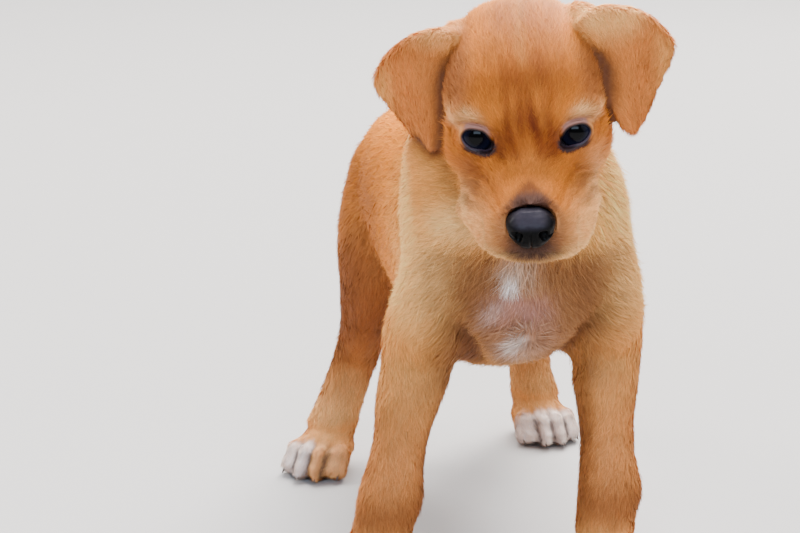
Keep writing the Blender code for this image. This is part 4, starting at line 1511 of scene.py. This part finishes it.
class MakeNose(bpy.types.Operator):
    """The nose leather, with its nostrils, the groove between them and its flat top"""

    bl_idname = "puppy.nose"
    bl_label = "Nose"

    def execute(self, context):
        bm = bmesh.new()
        bm.from_mesh(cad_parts["nose"].data)
        bmesh.ops.remove_doubles(bm, verts=bm.verts, dist=0.00001)
        mesh = bpy.data.meshes.new("nose_leather")
        bm.to_mesh(mesh)
        bm.free()
        obj = link("nose_leather", mesh)
        remeshed(obj, 0.45 * MM)
        mesh = obj.data
        net = Net(mesh)
        points = net.relax(points_of(mesh), 260, np.ones(len(mesh.vertices)))
        set_points(mesh, points)
        h = moved(HEAD_BACK, points) / MM
        middle_of = moved(HEAD_BACK, [middle("nose")])[0] / MM
        x, y, z = (h - middle_of).T
        taper = 0.05 + 0.17 * smooth(1, -9, z) + 0.07 * smooth(3, 9, z)
        h = h + np.stack([-taper * x, 0 * y, 2.2 * smooth(-3, -11, z) - 1.1 * smooth(2, 9, z)], 1)
        points = moved(HEAD, h * MM)
        set_points(mesh, points)
        push = np.zeros(len(points))
        push -= 0.9 * hump(x, 0, 0.55) * smooth(5.0, 2.0, z) * smooth(2, -2, y)
        for s in (1, -1):
            pit = np.hypot((x * s - 6.6) / 2.8, (z - 2.4) / 2.1)
            push -= 2.8 * smooth(1.15, 0.4, pit) * smooth(4, -1, y)
            slit = np.hypot((x * s - 10.2) / 3.6, (z - 0.6 + 0.25 * (x * s - 8)) / 0.95)
            push -= 1.8 * smooth(1.2, 0.4, slit) * smooth(9, 4, y)
            push += 0.5 * hump(np.hypot(x * s - 8.2, z - 5.6), 0, 2.4)
        points = points + normals_of(mesh) * (push * MM)[:, None]
        set_points(mesh, points)
        shade_smooth(mesh)
        # A painted highlight over the upper part of the nose.
        paint_value(mesh, "worn", 0.8 * smooth(3.6, 9, z) * smooth(13, 5, np.abs(x)) * smooth(6, 2, y))
        settle(obj, nose_material(), "nose", "nose")
        return {"FINISHED"}


class MakeClaws(bpy.types.Operator):
    """A short curved claw on each toe"""

    bl_idname = "puppy.claws"
    bl_label = "Claws"

    def execute(self, context):
        material = claw_material()
        for foot in FEET:
            frame_of_foot = foot_matrix(foot)
            nails = []
            for across, along, out in TOES:
                nail = active_from(
                    bpy.ops.mesh.primitive_cylinder_add, vertices=14, radius=1.7 * MM, depth=CLAW_LENGTH * MM
                )
                bpy.ops.object.mode_set(mode="EDIT")
                bpy.ops.mesh.subdivide(number_cuts=4)
                bpy.ops.object.mode_set(mode="OBJECT")
                points = points_of(nail.data)
                t = np.clip(points[:, 2] / MM / CLAW_LENGTH + 0.5, 0, 1)  # from root to tip
                points[:, :2] *= (1 - 0.86 * t**1.6)[:, None]
                points[:, 1] -= 2.2 * MM * t**2
                set_points(nail.data, points)
                turn = Matrix.Rotation(math.radians(out), 4, "Z")
                knuckle = Vector((PAW_HALF_WIDTH * across, PAW_HALF_LENGTH * along, 12.5)) * MM
                root = knuckle + turn.to_3x3() @ Vector((0, -13.0, -6.4)) * MM
                place = Matrix.Translation(root) @ turn @ Matrix.Rotation(math.radians(112), 4, "X")
                nail.data.transform(frame_of_foot @ place)
                nails.append(nail)
            select_only(*nails)
            bpy.ops.object.join()
            claws = bpy.context.object
            claws.name = "claws_" + foot
            claws.data.name = claws.name
            shade_smooth(claws.data)
            settle(claws, material, "paws")
        return {"FINISHED"}


LAMPS = (  # name, place from the middle of the puppy, width, height, share of the key's power, colour
    ("key", (0.6, -1.1, 3.2), 1.6, 1.6, 1.0, (1.0, 0.99, 0.97)),
    ("fill", (1.9, -1.6, 1.2), 2.0, 2.0, 0.22, (0.96, 0.98, 1.0)),
    ("back", (1.5, 1.8, 1.8), 1.5, 1.5, 2.2, (1.0, 0.97, 0.93)),
    ("rim", (-1.9, 1.3, 1.7), 1.4, 1.4, 1.2, (1.0, 0.98, 0.95)),
    ("glint", (-0.56, -1.80, 1.12), 1.7, 0.612, 0.9, (0.60, 0.78, 1.0)),
)
CAMERA_FROM_EYES = Vector((-0.30018, -0.94335, 0.17739))


def add_object(context, name, data):
    obj = bpy.data.objects.new(name, data)
    context.scene.collection.objects.link(obj)
    return obj


class MakeStage(bpy.types.Operator):
    """A plain pale floor, soft lamps and the camera"""

    bl_idname = "puppy.stage"
    bl_label = "Stage"

    def execute(self, context):
        settings = context.scene.puppy_stage
        floor = active_from(bpy.ops.mesh.primitive_plane_add, size=30.0, location=(0, 8, 0))
        floor.name = "floor"
        floor.data.transform(Matrix.Translation(floor.location))
        floor.location = (0, 0, 0)
        floor.data.materials.append(floor_material())
        centre = (SOLID_BOX[0] + SOLID_BOX[1]) / 2
        for name, offset, size, height, power, colour in LAMPS:
            lamp = add_object(context, name, bpy.data.lights.new(name, "AREA"))
            lamp.data.shape = "DISK" if size == height else "RECTANGLE"
            lamp.data.size, lamp.data.size_y = size, height
            lamp.data.energy = settings.key_power * power
            lamp.data.color = colour
            lamp.location = centre + Vector(offset)
            lamp.visible_camera = False
            lamp.rotation_euler = (-Vector(offset)).to_track_quat("-Z", "Y").to_euler()
        sun = add_object(context, "overhead", bpy.data.lights.new("overhead", "SUN"))
        sun.data.energy = settings.overhead
        sun.data.angle = math.radians(46)
        sun.rotation_euler = (math.radians(-26), math.radians(12), 0)
        world = bpy.data.worlds.new("soft_room")
        world.use_nodes = True
        sky = world.node_tree.nodes["Background"]
        sky.inputs["Color"].default_value = (0.86, 0.90, 0.96, 1)
        sky.inputs["Strength"].default_value = 0.30
        context.scene.world = world
        camera = add_object(context, "camera", bpy.data.cameras.new("camera"))
        camera.data.sensor_width = 36.0
        camera.data.lens = settings.focal_length
        camera.data.clip_start = 0.05
        camera.data.clip_end = 100
        camera.location = (EYES["left"] + EYES["right"]) / 2 + CAMERA_FROM_EYES
        turn, dip = math.radians(14), math.radians(14)
        view = Vector((math.sin(turn) * math.cos(dip), math.cos(turn) * math.cos(dip), -math.sin(dip)))
        camera.rotation_euler = view.to_track_quat("-Z", "Y").to_euler()
        context.scene.camera = camera
        return {"FINISHED"}


class PUPPY_PT_panel(bpy.types.Panel):
    """Settings and steps, in the order in which they are made"""

    bl_label = "Puppy"
    bl_space_type = "VIEW_3D"
    bl_region_type = "UI"
    bl_category = "Puppy"

    def draw(self, context):
        scene = context.scene
        for group in (scene.puppy_hide, scene.puppy_coat, scene.puppy_stage):
            box = self.layout.box()
            for name in group.__annotations__:
                box.prop(group, name)
        for operator in OPERATORS:
            self.layout.operator(operator.bl_idname)


OPERATORS = (MakeHide, MakeEyes, MakeNose, MakeClaws, MakeStage)
GROUPS = {"puppy_hide": HideSettings, "puppy_coat": CoatSettings, "puppy_stage": StageSettings}


def register():
    for group in GROUPS.values():
        bpy.utils.register_class(group)
    for operator in OPERATORS:
        bpy.utils.register_class(operator)
    bpy.utils.register_class(PUPPY_PT_panel)
    for name, group in GROUPS.items():
        setattr(bpy.types.Scene, name, bpy.props.PointerProperty(type=group))


def unregister():
    for name in GROUPS:
        delattr(bpy.types.Scene, name)
    bpy.utils.unregister_class(PUPPY_PT_panel)
    for operator in reversed(OPERATORS):
        bpy.utils.unregister_class(operator)
    for group in reversed(GROUPS.values()):
        bpy.utils.unregister_class(group)


def main():
    register()
    bpy.ops.puppy.hide_and_coat()
    bpy.ops.puppy.eyes()
    bpy.ops.puppy.nose()
    bpy.ops.puppy.claws()
    bpy.ops.puppy.stage()


if __name__ == "__main__":
    main()
